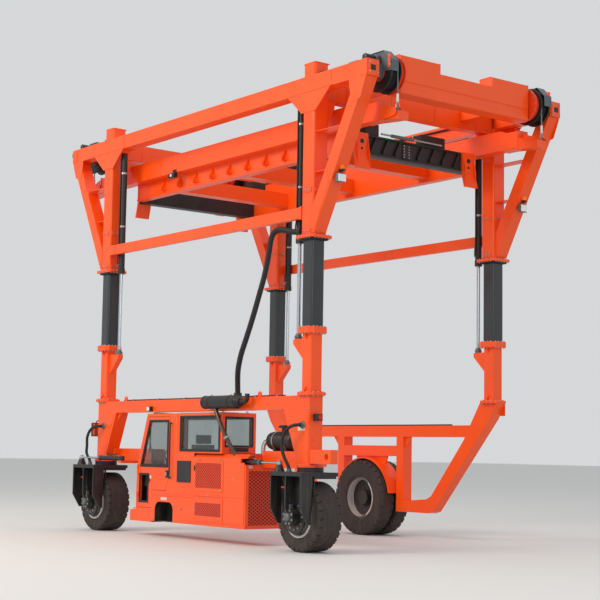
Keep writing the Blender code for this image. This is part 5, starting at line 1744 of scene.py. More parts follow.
# ------------------------------------------------------------------ driver's side
@dataclass
class DriverFrame:
    """Driver's side frame: long beam, tapered posts, carrier arms and their service lines."""

    out: float = 1.966
    ring_y: float = 1.846

    def build(self) -> None:
        """Dress the welded frame."""
        piece = from_node(Shape(ORANGE), "driver_side_frame", 0.006)
        for end in End:
            sx = end.value
            x = sx * HALF_BASE
            piece.use(ORANGE)
            piece.slab(
                [
                    (x + sx * 0.09, 1.26), (x - sx * 0.12, 1.26), (x - sx * 0.43, 2.02),
                    (x + sx * 0.09, 2.02)
                ],
                self.out, self.out + 0.005, Axis.Y, 0.0015
            )
            piece.slab([(x - sx * 0.49, 2.035), (x - sx * 0.62, 2.035), (x - sx * 0.44, 1.86)],
                       self.out - 0.06, self.out - 0.05, Axis.Y, 0.002)
            piece.use(ZINC)
            for spot in circle((x, self.ring_y, 1.225), 0.178, 14, Axis.Z, 8):
                low = end is End.FRONT and spot[1] > self.ring_y + 0.10
                piece.bolts([spot], (0, 0, 1), 0.010, 0.0042 if low else 0.013)
            piece.bolts(square_row(x, self.ring_y, 2.2253, 0.145, 3), (0, 0, -1), 0.011, 0.016)
            piece.use(ORANGE).turned(
                [
                    (0.018, -0.010), (0.042, -0.010), (0.046, -0.006), (0.046, 0.006),
                    (0.042, 0.010), (0.018, 0.010)
                ],
                (2.13 if end is End.FRONT else -1.74, 1.925, 2.262), (0, 1, 0), 28
            )
            piece.use(ORANGE).rod(
                (x + sx * 0.1105, self.ring_y, 1.60), (x + sx * 0.116, self.ring_y, 1.60), 0.05, 24
            )
        piece.use(RUBBER)
        for lane in range(3):
            y = 1.80 + 0.03 * lane
            piece.pipe(
                [
                    (-2.2, y, 2.24), (-1.6, y + 0.008, 2.238), (-0.6, y, 2.24),
                    (0.5, y - 0.006, 2.239), (1.6, y, 2.24), (2.3, y, 2.239)
                ],
                0.011, 5
            )
        piece.use(ZINC)
        for x in (-2.1, -1.55, -0.4, 0.4, 1.2, 2.0):
            piece.box((x - 0.015, 1.775, 2.224), (x + 0.015, 1.885, 2.256), 0.004)
        piece.done("driver_frame_dressed", "driver_chassis", "orange_paint", "driver_side_frame")
        self.post_fittings()
        for end in End:
            self.steer_hose(end)

    def steer_hose(self, end: End) -> None:
        """Hang the thick hose from a post's gland to the top of its fork."""
        x = 2.79 if end is End.FRONT else -2.855
        foot = 3.02 if end is End.FRONT else -2.70
        route = [
            (x, 1.972, 1.80), (x + 0.002, 2.030, 1.80), (x + 0.06, 2.115, 1.785),
            (x + 0.16, 2.150, 1.72), (x + 0.235, 2.158, 1.60), (x + 0.25, 2.150, 1.46),
            (foot + 0.06, 2.130, 1.33), (foot + 0.01, 2.10, 1.22), (foot, 2.09, 1.16),
            (foot, 2.09, 1.131)
        ]
        spots = smooth_line(route, 8)
        hose = Shape(RUBBER).pipe(route, 0.024, 8, 4)
        name = end.name.lower()
        made = hose.done(f"steer_hose_{name}", None, "hose", smooth=60)
        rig.blend(
            made, "driver_chassis", f"steer_{name}", start=spots[8] + CENTRING,
            end=spots[-6] + CENTRING
        )
        line = [p + CENTRING for p in spots]
        length = sum((b - a).length for a, b in zip(line, line[1:]))
        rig.cord(
            made, exit=line[0], length=length, diameter=0.048, far_end="object", stiffness="stiff",
            lay="hanging", path=line
        )
        LOG.info("steer hose %s: %.3f m long", name, length)
        collar = Shape(GREY_CAST)
        collar.turned(
            [
                (0.0245, 0.0), (0.042, 0.0), (0.042, 0.012), (0.034, 0.02), (0.034, 0.05),
                (0.0245, 0.05)
            ],
            (foot, 2.09, 1.1299), (0, 0, 1), 24
        )
        collar.done(f"steer_hose_foot_{name}", f"steer_{name}", "hose")

    def post_fittings(self) -> None:
        """Make the hose gland on each post, the mirror and the end lamps."""
        kit = Shape(BLACK)
        for x in (-2.855, 2.79):
            kit.use(GREY_CAST).turned(
                [
                    (0.0, 0.0), (0.055, 0.0), (0.055, 0.012), (0.042, 0.02), (0.042, 0.045),
                    (0.0, 0.045)
                ],
                (x, self.out + 0.004, 1.80), (0, 1, 0), 24
            )
            kit.use(ZINC).bolts(
                circle((x, self.out + 0.016, 1.80), 0.048, 4, Axis.Y, 45), (0, 1, 0), 0.006, 0.006
            )
        kit.use(BLACK).pipe(
            [(2.99, 1.90, 1.90), (3.04, 1.94, 1.90), (3.07, 1.96, 1.87), (3.07, 1.96, 1.83)],
            0.010, 5
        )
        kit.box((3.055, 1.88, 1.62), (3.095, 2.05, 1.86), 0.014)
        kit.use(CHROME).box((3.049, 1.892, 1.635), (3.056, 2.038, 1.845), 0.003)
        kit.use(BLACK).box((1.20, 1.967, 2.04), (1.30, 2.03, 2.12), 0.010)
        kit.use(CLEAR_LENS).box((1.212, 2.029, 2.05), (1.288, 2.035, 2.11), 0.003)
        kit.use(BLACK).box((-3.10, 1.80, 1.86), (-2.994, 1.90, 1.96), 0.010)
        kit.use(RED_LENS).rod((-3.099, 1.85, 1.91), (-3.112, 1.85, 1.91), 0.038, 24, 0.003)
        kit.use(BLACK).box((2.994, 1.78, 1.86), (3.05, 1.86, 1.94), 0.008)
        kit.use(CLEAR_LENS).rod((3.049, 1.82, 1.90), (3.060, 1.82, 1.90), 0.030, 24, 0.003)
        kit.use(LABEL).box(
            (-2.90, self.out + 0.004, 1.72), (-2.74, self.out + 0.0062, 1.80), 0.0005
        )
        kit.done("post_fittings", "driver_chassis", "orange_paint")


@dataclass
class DriveUnit:
    """Steered fork with its hub motor, lugged tyre and steering cylinder."""

    end: End
    axis_y: float = 1.846
    centre_z: float = 0.50
    tyre: float = 0.50

    def build(self) -> None:
        """Dress the fork, the wheel and the cylinder."""
        name = self.end.name.lower()
        x = self.end.value * HALF_BASE
        self.fork(x, name)
        self.wheel(x, name)
        self.cylinder(x, name)

    def fork(self, x: float, name: str) -> None:
        """Dress the fork with its ring bolts, motor face, hoses and guard."""
        fork = from_node(Shape(BLACK), f"fork_{name}", 0.005)
        face = (x, self.axis_y + 0.395, self.centre_z)
        fork.use(ZINC)
        fork.bolts(circle((x, self.axis_y, 1.0747), 0.165, 12, Axis.Z), (0, 0, -1), 0.010, 0.012)
        fork.bolts(circle(face, 0.098, 8, Axis.Y, 22.5), (0, 1, 0), 0.012, 0.012)
        fork.bolts(
            circle((x, self.axis_y + 0.28, self.centre_z), 0.178, 12, Axis.Y), (0, 1, 0), 0.012,
            0.012
        )
        fork.use(GREY_CAST).turned(
            [(0.0, 0.0), (0.062, 0.0), (0.056, 0.028), (0.030, 0.040), (0.0, 0.040)], face,
            (0, 1, 0), 28
        )
        fork.box((x - 0.045, face[1] - 0.06, 0.60), (x + 0.045, face[1] - 0.005, 0.68), 0.008)
        fork.use(RUBBER)
        for lean in (-0.022, 0.022):
            fork.pipe(
                [
                    (x + lean, face[1] - 0.03, 0.68), (x + lean, face[1] - 0.02, 0.74),
                    (x + 0.06 + lean, face[1] - 0.03, 0.86),
                    (x + 0.10 + lean, face[1] - 0.03, 0.98),
                    (x + 0.16 + lean, face[1] - 0.02, 1.08), (x + 0.25, face[1] - 0.04, 1.152),
                    (x + 0.34 + lean, self.axis_y + 0.30, 1.20)
                ],
                0.012, 6
            )
        fork.use(RED_CLIP).box(
            (x + 0.06, face[1] - 0.055, 0.90), (x + 0.17, face[1] + 0.0, 0.925), 0.004
        )
        fork.use(BLACK)
        fork.box(
            (x - 0.345, self.axis_y - 0.20, 1.040), (x + 0.345, self.axis_y + 0.20, 1.076), 0.004
        )
        for sx in (-1, 1):
            fork.slab([(x + sx * 0.30, 1.075), (x + sx * 0.358, 1.075), (x + sx * 0.358, 0.90)],
                      self.axis_y + 0.20, self.axis_y + 0.214, Axis.Y, 0.002)
        fork.use(YELLOW).box(
            (x - 0.26, self.axis_y + 0.28, 0.93), (x - 0.17, self.axis_y + 0.2825, 0.99), 0.0006
        )
        fork.done(f"fork_dressed_{name}", f"steer_{name}", "black_paint", f"fork_{name}")

    def wheel(self, x: float, name: str) -> None:
        """Make the tyre with its lugs, and dress the rim."""
        made = tyre_shape(Vector((x, self.axis_y, self.centre_z)), self.tyre, 0.21, 0.302, 26)
        made.done(f"tyre_lugged_{name}", f"wheel_{name}", "tyre", f"tyre_{name}", smooth=42)
        rim = from_node(Shape(RIM_PAINT), f"rim_{name}", 0.004)
        for face in (-1, 1):
            lip = self.axis_y + face * 0.205
            rim.use(RIM_PAINT).turned(
                [(0.262, -0.012), (0.296, -0.012), (0.301, 0.004), (0.296, 0.012), (0.270, 0.008)],
                (x, lip, self.centre_z), (0, face, 0), 56
            )
        rim.use(ZINC).bolts(
            circle((x, self.axis_y + 0.03, self.centre_z), 0.20, 10, Axis.Y), (0, 1, 0), 0.014,
            0.018
        )
        rim.bolts(
            circle((x, self.axis_y - 0.03, self.centre_z), 0.20, 10, Axis.Y), (0, -1, 0), 0.014,
            0.018
        )
        rim.done(f"rim_dressed_{name}", f"wheel_{name}", "rim", f"rim_{name}")

    def cylinder(self, x: float, name: str) -> None:
        """Dress the steering cylinder: black barrel, gland ring and bright rod."""
        barrel = from_node(Shape(BLACK), f"steer_barrel_{name}", 0.003)
        low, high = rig.box(f"steer_barrel_{name}")
        rod_low, rod_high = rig.box(f"steer_rod_{name}")
        mouth, base = ((2.646, 2.116), (1.90, 2.116)) if self.end is End.FRONT else (
            (-1.897, 2.001), (-1.20, 1.87)
        )
        z = 1.252
        line = (Vector((*mouth, z)) - Vector((*base, z))).normalized()
        tip = Vector((*mouth, z))
        barrel.use(GREY_CAST).turned(
            [
                (0.0235, -0.045), (0.044, -0.045), (0.046, -0.04), (0.046, -0.006), (0.040, 0.0),
                (0.0235, 0.0)
            ],
            tip, line, 24
        )
        barrel.use(ZINC)
        for gone in (0.10, 0.52):
            spot = Vector((*base, z)) + line * gone
            barrel.rod(spot + Vector((0, 0, 0.034)), spot + Vector((0, 0, 0.058)), 0.013, 12)
        barrel.use(RUBBER)
        a, b = Vector((*base, z)) + line * 0.10, Vector((*base, z)) + line * 0.52
        barrel.pipe(
            [
                b + Vector((0, 0, 0.055)), b + Vector((0, 0, 0.08)) - line * 0.05,
                a.lerp(b, 0.5) + Vector((0, 0, 0.062)), a + Vector((0, 0, 0.075)) + line * 0.05,
                a + Vector((0, 0, 0.055))
            ],
            0.009, 6
        )
        barrel.done(
            f"steer_barrel_dressed_{name}", f"steer_barrel_{name}_body", "black_paint",
            f"steer_barrel_{name}"
        )
        rod = from_node(Shape(CHROME), f"steer_rod_{name}", 0.002)
        eye = (x + 0.38, self.axis_y + 0.27, 1.2741)
        rod.use(BLACK).rod(eye, (eye[0], eye[1], 1.280), 0.034, 24, 0.002)
        rod.use(ZINC).bolts([(eye[0], eye[1], 1.280)], (0, 0, 1), 0.020, 0.014)
        rod.done(
            f"steer_rod_dressed_{name}", f"steer_rod_{name}_body", "chrome", f"steer_rod_{name}",
            smooth=50
        )
        LOG.info(
            "steering cylinder %s: barrel %.2f m, rod %.2f m", name, (high - low).length,
            (rod_high - rod_low).length
        )


def tyre_shape(hub: Vector, radius: float, half: float, bead: float, lugs: int) -> Shape:
    """Make an industrial tyre: rounded shoulders, sidewall rings and angled side lugs.

    Args:
        hub: the tyre's centre.
        radius: over the tread.
        half: half the tread's width.
        bead: the radius of its opening.
        lugs: how many lugs go round each shoulder.
    """
    skin = radius - 0.016
    wall = [(bead, -half + 0.035), (bead + 0.010, -half + 0.014), (bead + 0.035, -half + 0.008)]
    wall += [
        (bead + 0.040, -half + 0.002), (bead + 0.055, -half + 0.002), (bead + 0.060, -half + 0.007)
    ]
    wall += [
        (skin - 0.075, -half + 0.001), (skin - 0.040, -half + 0.006), (skin - 0.012, -half + 0.018)
    ]
    wall += [
        (skin, -half * 0.70), (radius - 0.003, -half * 0.66), (radius, -half * 0.3),
        (radius, -0.010)
    ]
    profile = wall + [(r, -h) for r, h in reversed(wall)]
    tyre = Shape(TYRE).turned(profile, hub, (0, 1, 0), 96)
    step = 2 * math.pi / lugs
    for side in (-1, 1):
        for i in range(lugs):
            part = bmesh.new()
            a0 = step * (i + (0.5 if side > 0 else 0.0))
            rows = []
            for share, across, width in (
                (0.0, half * 0.62, 0.84), (0.5, half * 0.80, 0.80), (0.85, half - 0.020, 0.74),
                (1.0, half - 0.002, 0.66)
            ):
                turn = a0 + share * step * 0.20
                tall = radius - (0.0015 if share < 0.9 else 0.020)
                low = skin - (0.012 if share < 0.9 else 0.055)
                ring = []
                for edge in (-width * step / 2, width * step / 2):
                    angle = turn + edge
                    for r in (low, tall):
                        ring.append(
                            part.verts.new(
                                (
                                    hub.x + r * math.cos(angle), hub.y + side * across,
                                    hub.z + r * math.sin(angle)
                                )
                            )
                        )
                rows.append((ring[0], ring[1], ring[3], ring[2]))
            for first, second in zip(rows, rows[1:]):
                for k in range(4):
                    part.faces.new((first[k], first[(k + 1) % 4], second[(k + 1) % 4], second[k]))
            part.faces.new(rows[0])
            part.faces.new(tuple(reversed(rows[-1])))
            bmesh.ops.recalc_face_normals(part, faces=part.faces)
            Shape.eased(part, 0.003, 1, 40.0)
            tyre.take(part)
    return tyre


# ------------------------------------------------------------------ cab
@dataclass
class Cab:
    """Driver's cab: shell, panes in black rubber, roof kit, controls and seat."""

    near: float = 1.36
    out: float = 2.0
    inner_window: tuple[Point, ...] = (
        (1.05, 1.2), (1.05, 1.92), (-0.75, 1.92), (-0.75, 1.485), (0.0, 1.485), (0.0, 1.2)
    )
    side_window: tuple[Point, ...] = ((-0.80, 1.415), (0.28, 1.415), (0.28, 1.93), (-0.80, 1.93))

    def build(self) -> None:
        """Dress the cab from the shell to the seat."""
        self.shell()
        self.panes()
        self.roof()
        self.controls()
        self.seat()
        Door().build()

    def shell(self) -> None:
        """Dress the shell with gaskets, seams, a grab rail and a step."""
        # Faces inside the shell take dark plastic as painted shade.
        shell = from_node(Shape(ORANGE), "cab_shell", 0.006, self.inside_shade)
        shell.use(GASKET)
        shell.ring(
            self.grown(self.side_window, 0.026), 0.040, self.out - 0.004, self.out + 0.009, Axis.Y,
            0.003
        )
        shell.ring(
            self.grown(self.inner_window, 0.026), 0.040, self.near - 0.009, self.near + 0.004,
            Axis.Y, 0.003
        )
        rear = ((1.43, 1.485), (1.93, 1.485), (1.93, 1.92), (1.43, 1.92))
        shell.ring(self.grown(rear, 0.018), 0.026, -0.889, -0.876, Axis.X, 0.003)
        shell.use(ORANGE)
        shell.box((-0.86, self.out - 0.001, 1.375), (0.40, self.out + 0.006, 1.388), 0.002)
        shell.box((0.36, self.out - 0.001, 1.38), (0.40, self.out + 0.006, 1.985), 0.002)
        shell.use(BLACK)
        shell.pipe(
            [
                (0.545, 2.000, 0.96), (0.545, 2.034, 0.97), (0.545, 2.038, 1.02),
                (0.545, 2.038, 1.78), (0.545, 2.034, 1.83), (0.545, 2.000, 1.84)
            ],
            0.011, 5
        )
        shell.box((1.12, 1.42, 0.429), (1.76, 1.96, 0.436), 0.002)
        shell.use(ZINC)
        for z in (0.96, 1.84):
            shell.rod((0.545, 1.999, z), (0.545, 2.005, z), 0.020, 18)
        for i in range(9):
            shell.bolts([(-0.78 + 0.25 * i, self.out, 1.965)], (0, 1, 0), 0.006, 0.005)
        shell.done("cab_dressed", "driver_chassis", "orange_paint", "cab_shell")

    @staticmethod
    def inside_shade(place: Vector) -> Finish:
        """Dark plastic on the faces inside the cab, painted shade for its dim inside; paint on the rest."""
        across = 1.395 < place.y < 1.965 and -0.845 < place.x < 1.585
        ahead = place.x + 0.341 * max(place.z - 1.12, 0.0) < 1.578
        return PLASTIC if across and ahead and 0.44 < place.z < 1.965 else ORANGE

    @staticmethod
    def grown(outline: Sequence[Point], by: float) -> list[tuple[float, float]]:
        """Move each corner of an outline away from its middle."""
        cx = sum(p[0] for p in outline) / len(outline)
        cz = sum(p[1] for p in outline) / len(outline)
        return [(x + math.copysign(by, x - cx), z + math.copysign(by, z - cz)) for x, z in outline]

    def panes(self) -> None:
        """Dress the modelled panes and make the inner and rear ones."""
        for node in ("cab_side_glass", "cab_windscreen"):
            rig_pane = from_node(Shape(GLASS), node, 0.0008)
            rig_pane.done(f"{node}_clear", "driver_chassis", "glass", node)
        screen = Shape(GASKET)
        low, high = (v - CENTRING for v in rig.box("cab_windscreen"))
        inset = 0.012
        for y in (low.y, high.y):
            shift = inset if y == low.y else -inset
            screen.pipe(
                [
                    (high.x + 0.004, y + shift, low.z + 0.01),
                    (low.x + 0.004, y + shift, high.z - 0.01)
                ],
                0.013, 2
            )
        for z, x in ((low.z + 0.01, high.x + 0.004), (high.z - 0.01, low.x + 0.004)):
            screen.pipe([(x, low.y + inset, z), (x, high.y - inset, z)], 0.013, 2)
        foot = Vector((high.x + 0.018, (low.y + high.y) / 2, low.z + 0.05))
        lean = Vector((low.x - high.x, 0.0, high.z - low.z)).normalized()
        screen.use(PLASTIC).rod(
            foot - Vector((0.02, 0, 0)), foot + Vector((0.02, 0, 0)), 0.022, 16, 0.003
        )
        arm_end = foot + lean * 0.40 + Vector((0.0, 0.16, 0.0))
        screen.rod(foot + Vector((0.012, 0, 0)), arm_end + Vector((0.012, 0, 0)), 0.006, 10)
        screen.box(
            arm_end - Vector((0.004, 0.01, 0.22)), arm_end + Vector((0.014, 0.01, 0.18)), 0.003
        )
        screen.use(GLASS).slab(
            self.grown(self.inner_window, -0.004), self.near + 0.012, self.near + 0.018, Axis.Y,
            0.0
        )
        screen.slab(
            [(1.434, 1.489), (1.926, 1.489), (1.926, 1.916), (1.434, 1.916)], -0.868, -0.862,
            Axis.X, 0.0
        )
        screen.done("cab_screen_trim", "driver_chassis", "glass")

    def roof(self) -> None:
        """Make the roof's light strip, lifting eyes and vent."""
        kit = Shape(BLACK)
        kit.box((-0.62, 1.50, 2.0), (0.55, 1.80, 2.012), 0.004)
        kit.box((1.20, 1.46, 2.0), (1.29, 1.90, 2.020), 0.006)
        kit.use(ZINC)
        for x in (-0.78, 1.10):
            for y in (1.46, 1.92):
                kit.rod((x, y, 1.999), (x, y, 2.010), 0.022, 16)
                kit.pipe(
                    [
                        (x - 0.018, y, 2.008), (x - 0.018, y, 2.022), (x, y, 2.028),
                        (x + 0.018, y, 2.022), (x + 0.018, y, 2.008)
                    ],
                    0.006, 3
                )
        kit.use(PLASTIC)
        kit.box((-0.868, 1.50, 1.40), (-0.885, 1.86, 1.46), 0.004)
        kit.done("cab_roof_kit", "driver_chassis", "black_paint")

    def controls(self) -> None:
        """Make the dashboard, wheel, console, pedals and lining."""
        kit = Shape(PLASTIC)
        kit.slab(
            [
                (1.48, 0.80), (1.46, 1.08), (1.38, 1.16), (1.18, 1.10), (1.16, 1.02), (1.30, 0.96),
                (1.36, 0.80)
            ],
            1.44, 1.92, Axis.Y, 0.012
        )
        kit.slab(
            [(0.05, 0.78), (0.60, 0.78), (0.66, 1.10), (0.56, 1.16), (0.10, 1.12)], 1.405, 1.445,
            Axis.Y, 0.008
        )
        kit.slab(
            [(0.10, 0.78), (0.60, 0.78), (0.66, 1.10), (0.56, 1.16), (0.12, 1.12)], 1.895, 1.935,
            Axis.Y, 0.008
        )
        for y in (1.425, 1.915):
            kit.rod((0.56, y, 1.15), (0.57, y, 1.25), 0.010, 12)
            kit.turned(
                [(0.0, 0.0), (0.020, 0.004), (0.024, 0.02), (0.020, 0.038), (0.0, 0.046)],
                (0.572, y, 1.24), (0.1, 0, 1), 18
            )
        kit.rod((1.26, 1.66, 1.08), (1.00, 1.66, 1.26), 0.022, 18)
        centre = Vector((0.985, 1.66, 1.27))
        lean = Vector((-0.82, 0.0, 0.57)).normalized()
        rim = []
        for i in range(33):
            angle = 2 * math.pi * i / 32
            rim.append(
                centre
                + Vector((0.57 * math.cos(angle), 1.0 * math.sin(angle), 0.82 * math.cos(angle)))
                * 0.17
            )
        kit.pipe(rim, 0.013, 1, 3)
        for i in range(3):
            angle = math.radians(90 + 120 * i)
            kit.rod(
                centre,
                centre + Vector(
                    (0.57 * math.cos(angle), math.sin(angle), 0.82 * math.cos(angle))
                ) * 0.165,
                0.009, 10
            )
        kit.rod(centre - lean * 0.012, centre + lean * 0.020, 0.038, 20, 0.005)
        kit.use(BLACK)
        for y in (1.56, 1.74):
            kit.box((1.30, y - 0.035, 0.50), (1.42, y + 0.035, 0.52), 0.006)
            kit.rod((1.36, y, 0.462), (1.36, y, 0.505), 0.012, 12)
        kit.use(CLEAR_LENS).box((1.172, 1.56, 1.045), (1.182, 1.76, 1.098), 0.003)
        kit.use(PLASTIC).box((-0.84, 1.401, 1.404), (-0.80, 1.959, 1.48), 0.006)
        kit.done("cab_controls", "driver_chassis", "seat")

    def seat(self) -> None:
        """Make the seat on its suspension box."""
        seat = Shape(PLASTIC)
        seat.box((0.12, 1.50, 0.742), (0.58, 1.84, 0.80), 0.012)
        for i in range(6):
            z = 0.80 + 0.025 * i
            seat.box(
                (0.14 + 0.006 * (i % 2), 1.515, z), (0.56 - 0.006 * (i % 2), 1.825, z + 0.022),
                0.008
            )
        seat.use(SEAT_COVER)
        self.cushion(seat, (0.13, 1.47, 0.95), (0.68, 1.87, 1.08))
        self.cushion(seat, (0.055, 1.475, 1.07), (0.19, 1.865, 1.50))
        self.cushion(seat, (0.060, 1.545, 1.515), (0.16, 1.795, 1.655))
        seat.use(PLASTIC)
        for y in (1.60, 1.74):
            seat.rod((0.11, y, 1.47), (0.11, y, 1.54), 0.008, 10)
        seat.use(SEAT_COVER)
        for y0, y1 in ((1.452, 1.478), (1.862, 1.888)):
            seat.box((0.14, y0, 1.17), (0.50, y1, 1.225), 0.012, 3)
        seat.use(RED_CLIP).box((0.30, 1.872, 1.00), (0.36, 1.888, 1.06), 0.004)
        seat.done("driver_seat_dressed", "driver_chassis", "seat", "driver_seat", smooth=60)

    @staticmethod
    def cushion(shape: Shape, low: Point, high: Point) -> None:
        """Add a padded block: crowned faces, pulled in towards its corners, with sewn channels."""
        a, b = Vector(low), Vector(high)
        mid, half = (a + b) / 2, (b - a) / 2
        part = bmesh.new()
        bmesh.ops.create_cube(part, size=2.0)
        bmesh.ops.subdivide_edges(part, edges=part.edges, cuts=11, use_grid_fill=True)
        thin = min(range(3), key=lambda k: half[k])
        wide = [k for k in range(3) if k != thin]
        for vert in part.verts:
            p = vert.co.copy()
            spread = 1.0 - 0.5 * (p[wide[0]] ** 4 + p[wide[1]] ** 4) * 0.5
            channel = 0.06 if min(abs(abs(p[1]) - 0.42), 1.0) < 0.06 and thin != 1 else 0.0
            q = p.copy()
            q[thin] = p[thin] * (0.72 + 0.28 * spread - channel)
            for k in wide:
                q[k] = p[k] * (1.0 - 0.07 * p[thin] ** 2)
            vert.co = Vector([mid[k] + q[k] * half[k] for k in range(3)])
        shape.take(part)


@dataclass
class Door:
    """Cab door with rubber mounted panes, hinges, lock and grab handle."""

    back: float = 1.96
    face: float = 2.0
    upper: tuple[Point, ...] = ((1.47, 1.15), (1.20, 1.87), (0.66, 1.87), (0.66, 1.15))
    lower: tuple[Point, ...] = (
        (1.49, 0.56), (1.49, 1.00), (1.24, 1.00), (1.19, 0.90), (1.24, 0.82), (1.24, 0.56)
    )

    def build(self) -> None:
        """Dress the leaf, its panes and its fittings."""
        leaf = from_node(Shape(ORANGE), "cab_door", 0.005)
        leaf.use(GASKET)
        leaf.ring(
            Cab.grown(self.upper, 0.026), 0.042, self.face - 0.004, self.face + 0.009, Axis.Y,
            0.003
        )
        leaf.ring(
            Cab.grown(self.lower, 0.022), 0.034, self.face - 0.004, self.face + 0.008, Axis.Y,
            0.003
        )
        leaf.use(PLASTIC).box((0.62, self.face, 0.96), (0.70, self.face + 0.012, 1.08), 0.005)
        leaf.use(LABEL).slab(
            [(1.19, 0.965), (1.16, 0.925), (1.13, 0.93), (1.12, 0.965), (1.145, 0.99)], self.face,
            self.face + 0.010, Axis.Y, 0.002
        )
        leaf.use(ZINC).box((0.64, self.face + 0.012, 0.99), (0.68, self.face + 0.032, 1.05), 0.005)
        for z in (0.59, 1.04):
            leaf.bolts(
                [(1.50, self.face, z + 0.02), (1.50, self.face, z - 0.02)], (0, 1, 0), 0.006, 0.006
            )
        leaf.use(LABEL).box((0.70, self.face, 0.62), (0.90, self.face + 0.002, 0.70), 0.0005)
        leaf.done("cab_door_dressed", "door", "orange_paint", "cab_door")
        pane = from_node(Shape(GLASS), "cab_door_glass", 0.0008)
        pane.done("cab_door_glass_clear", "door", "glass", "cab_door_glass")


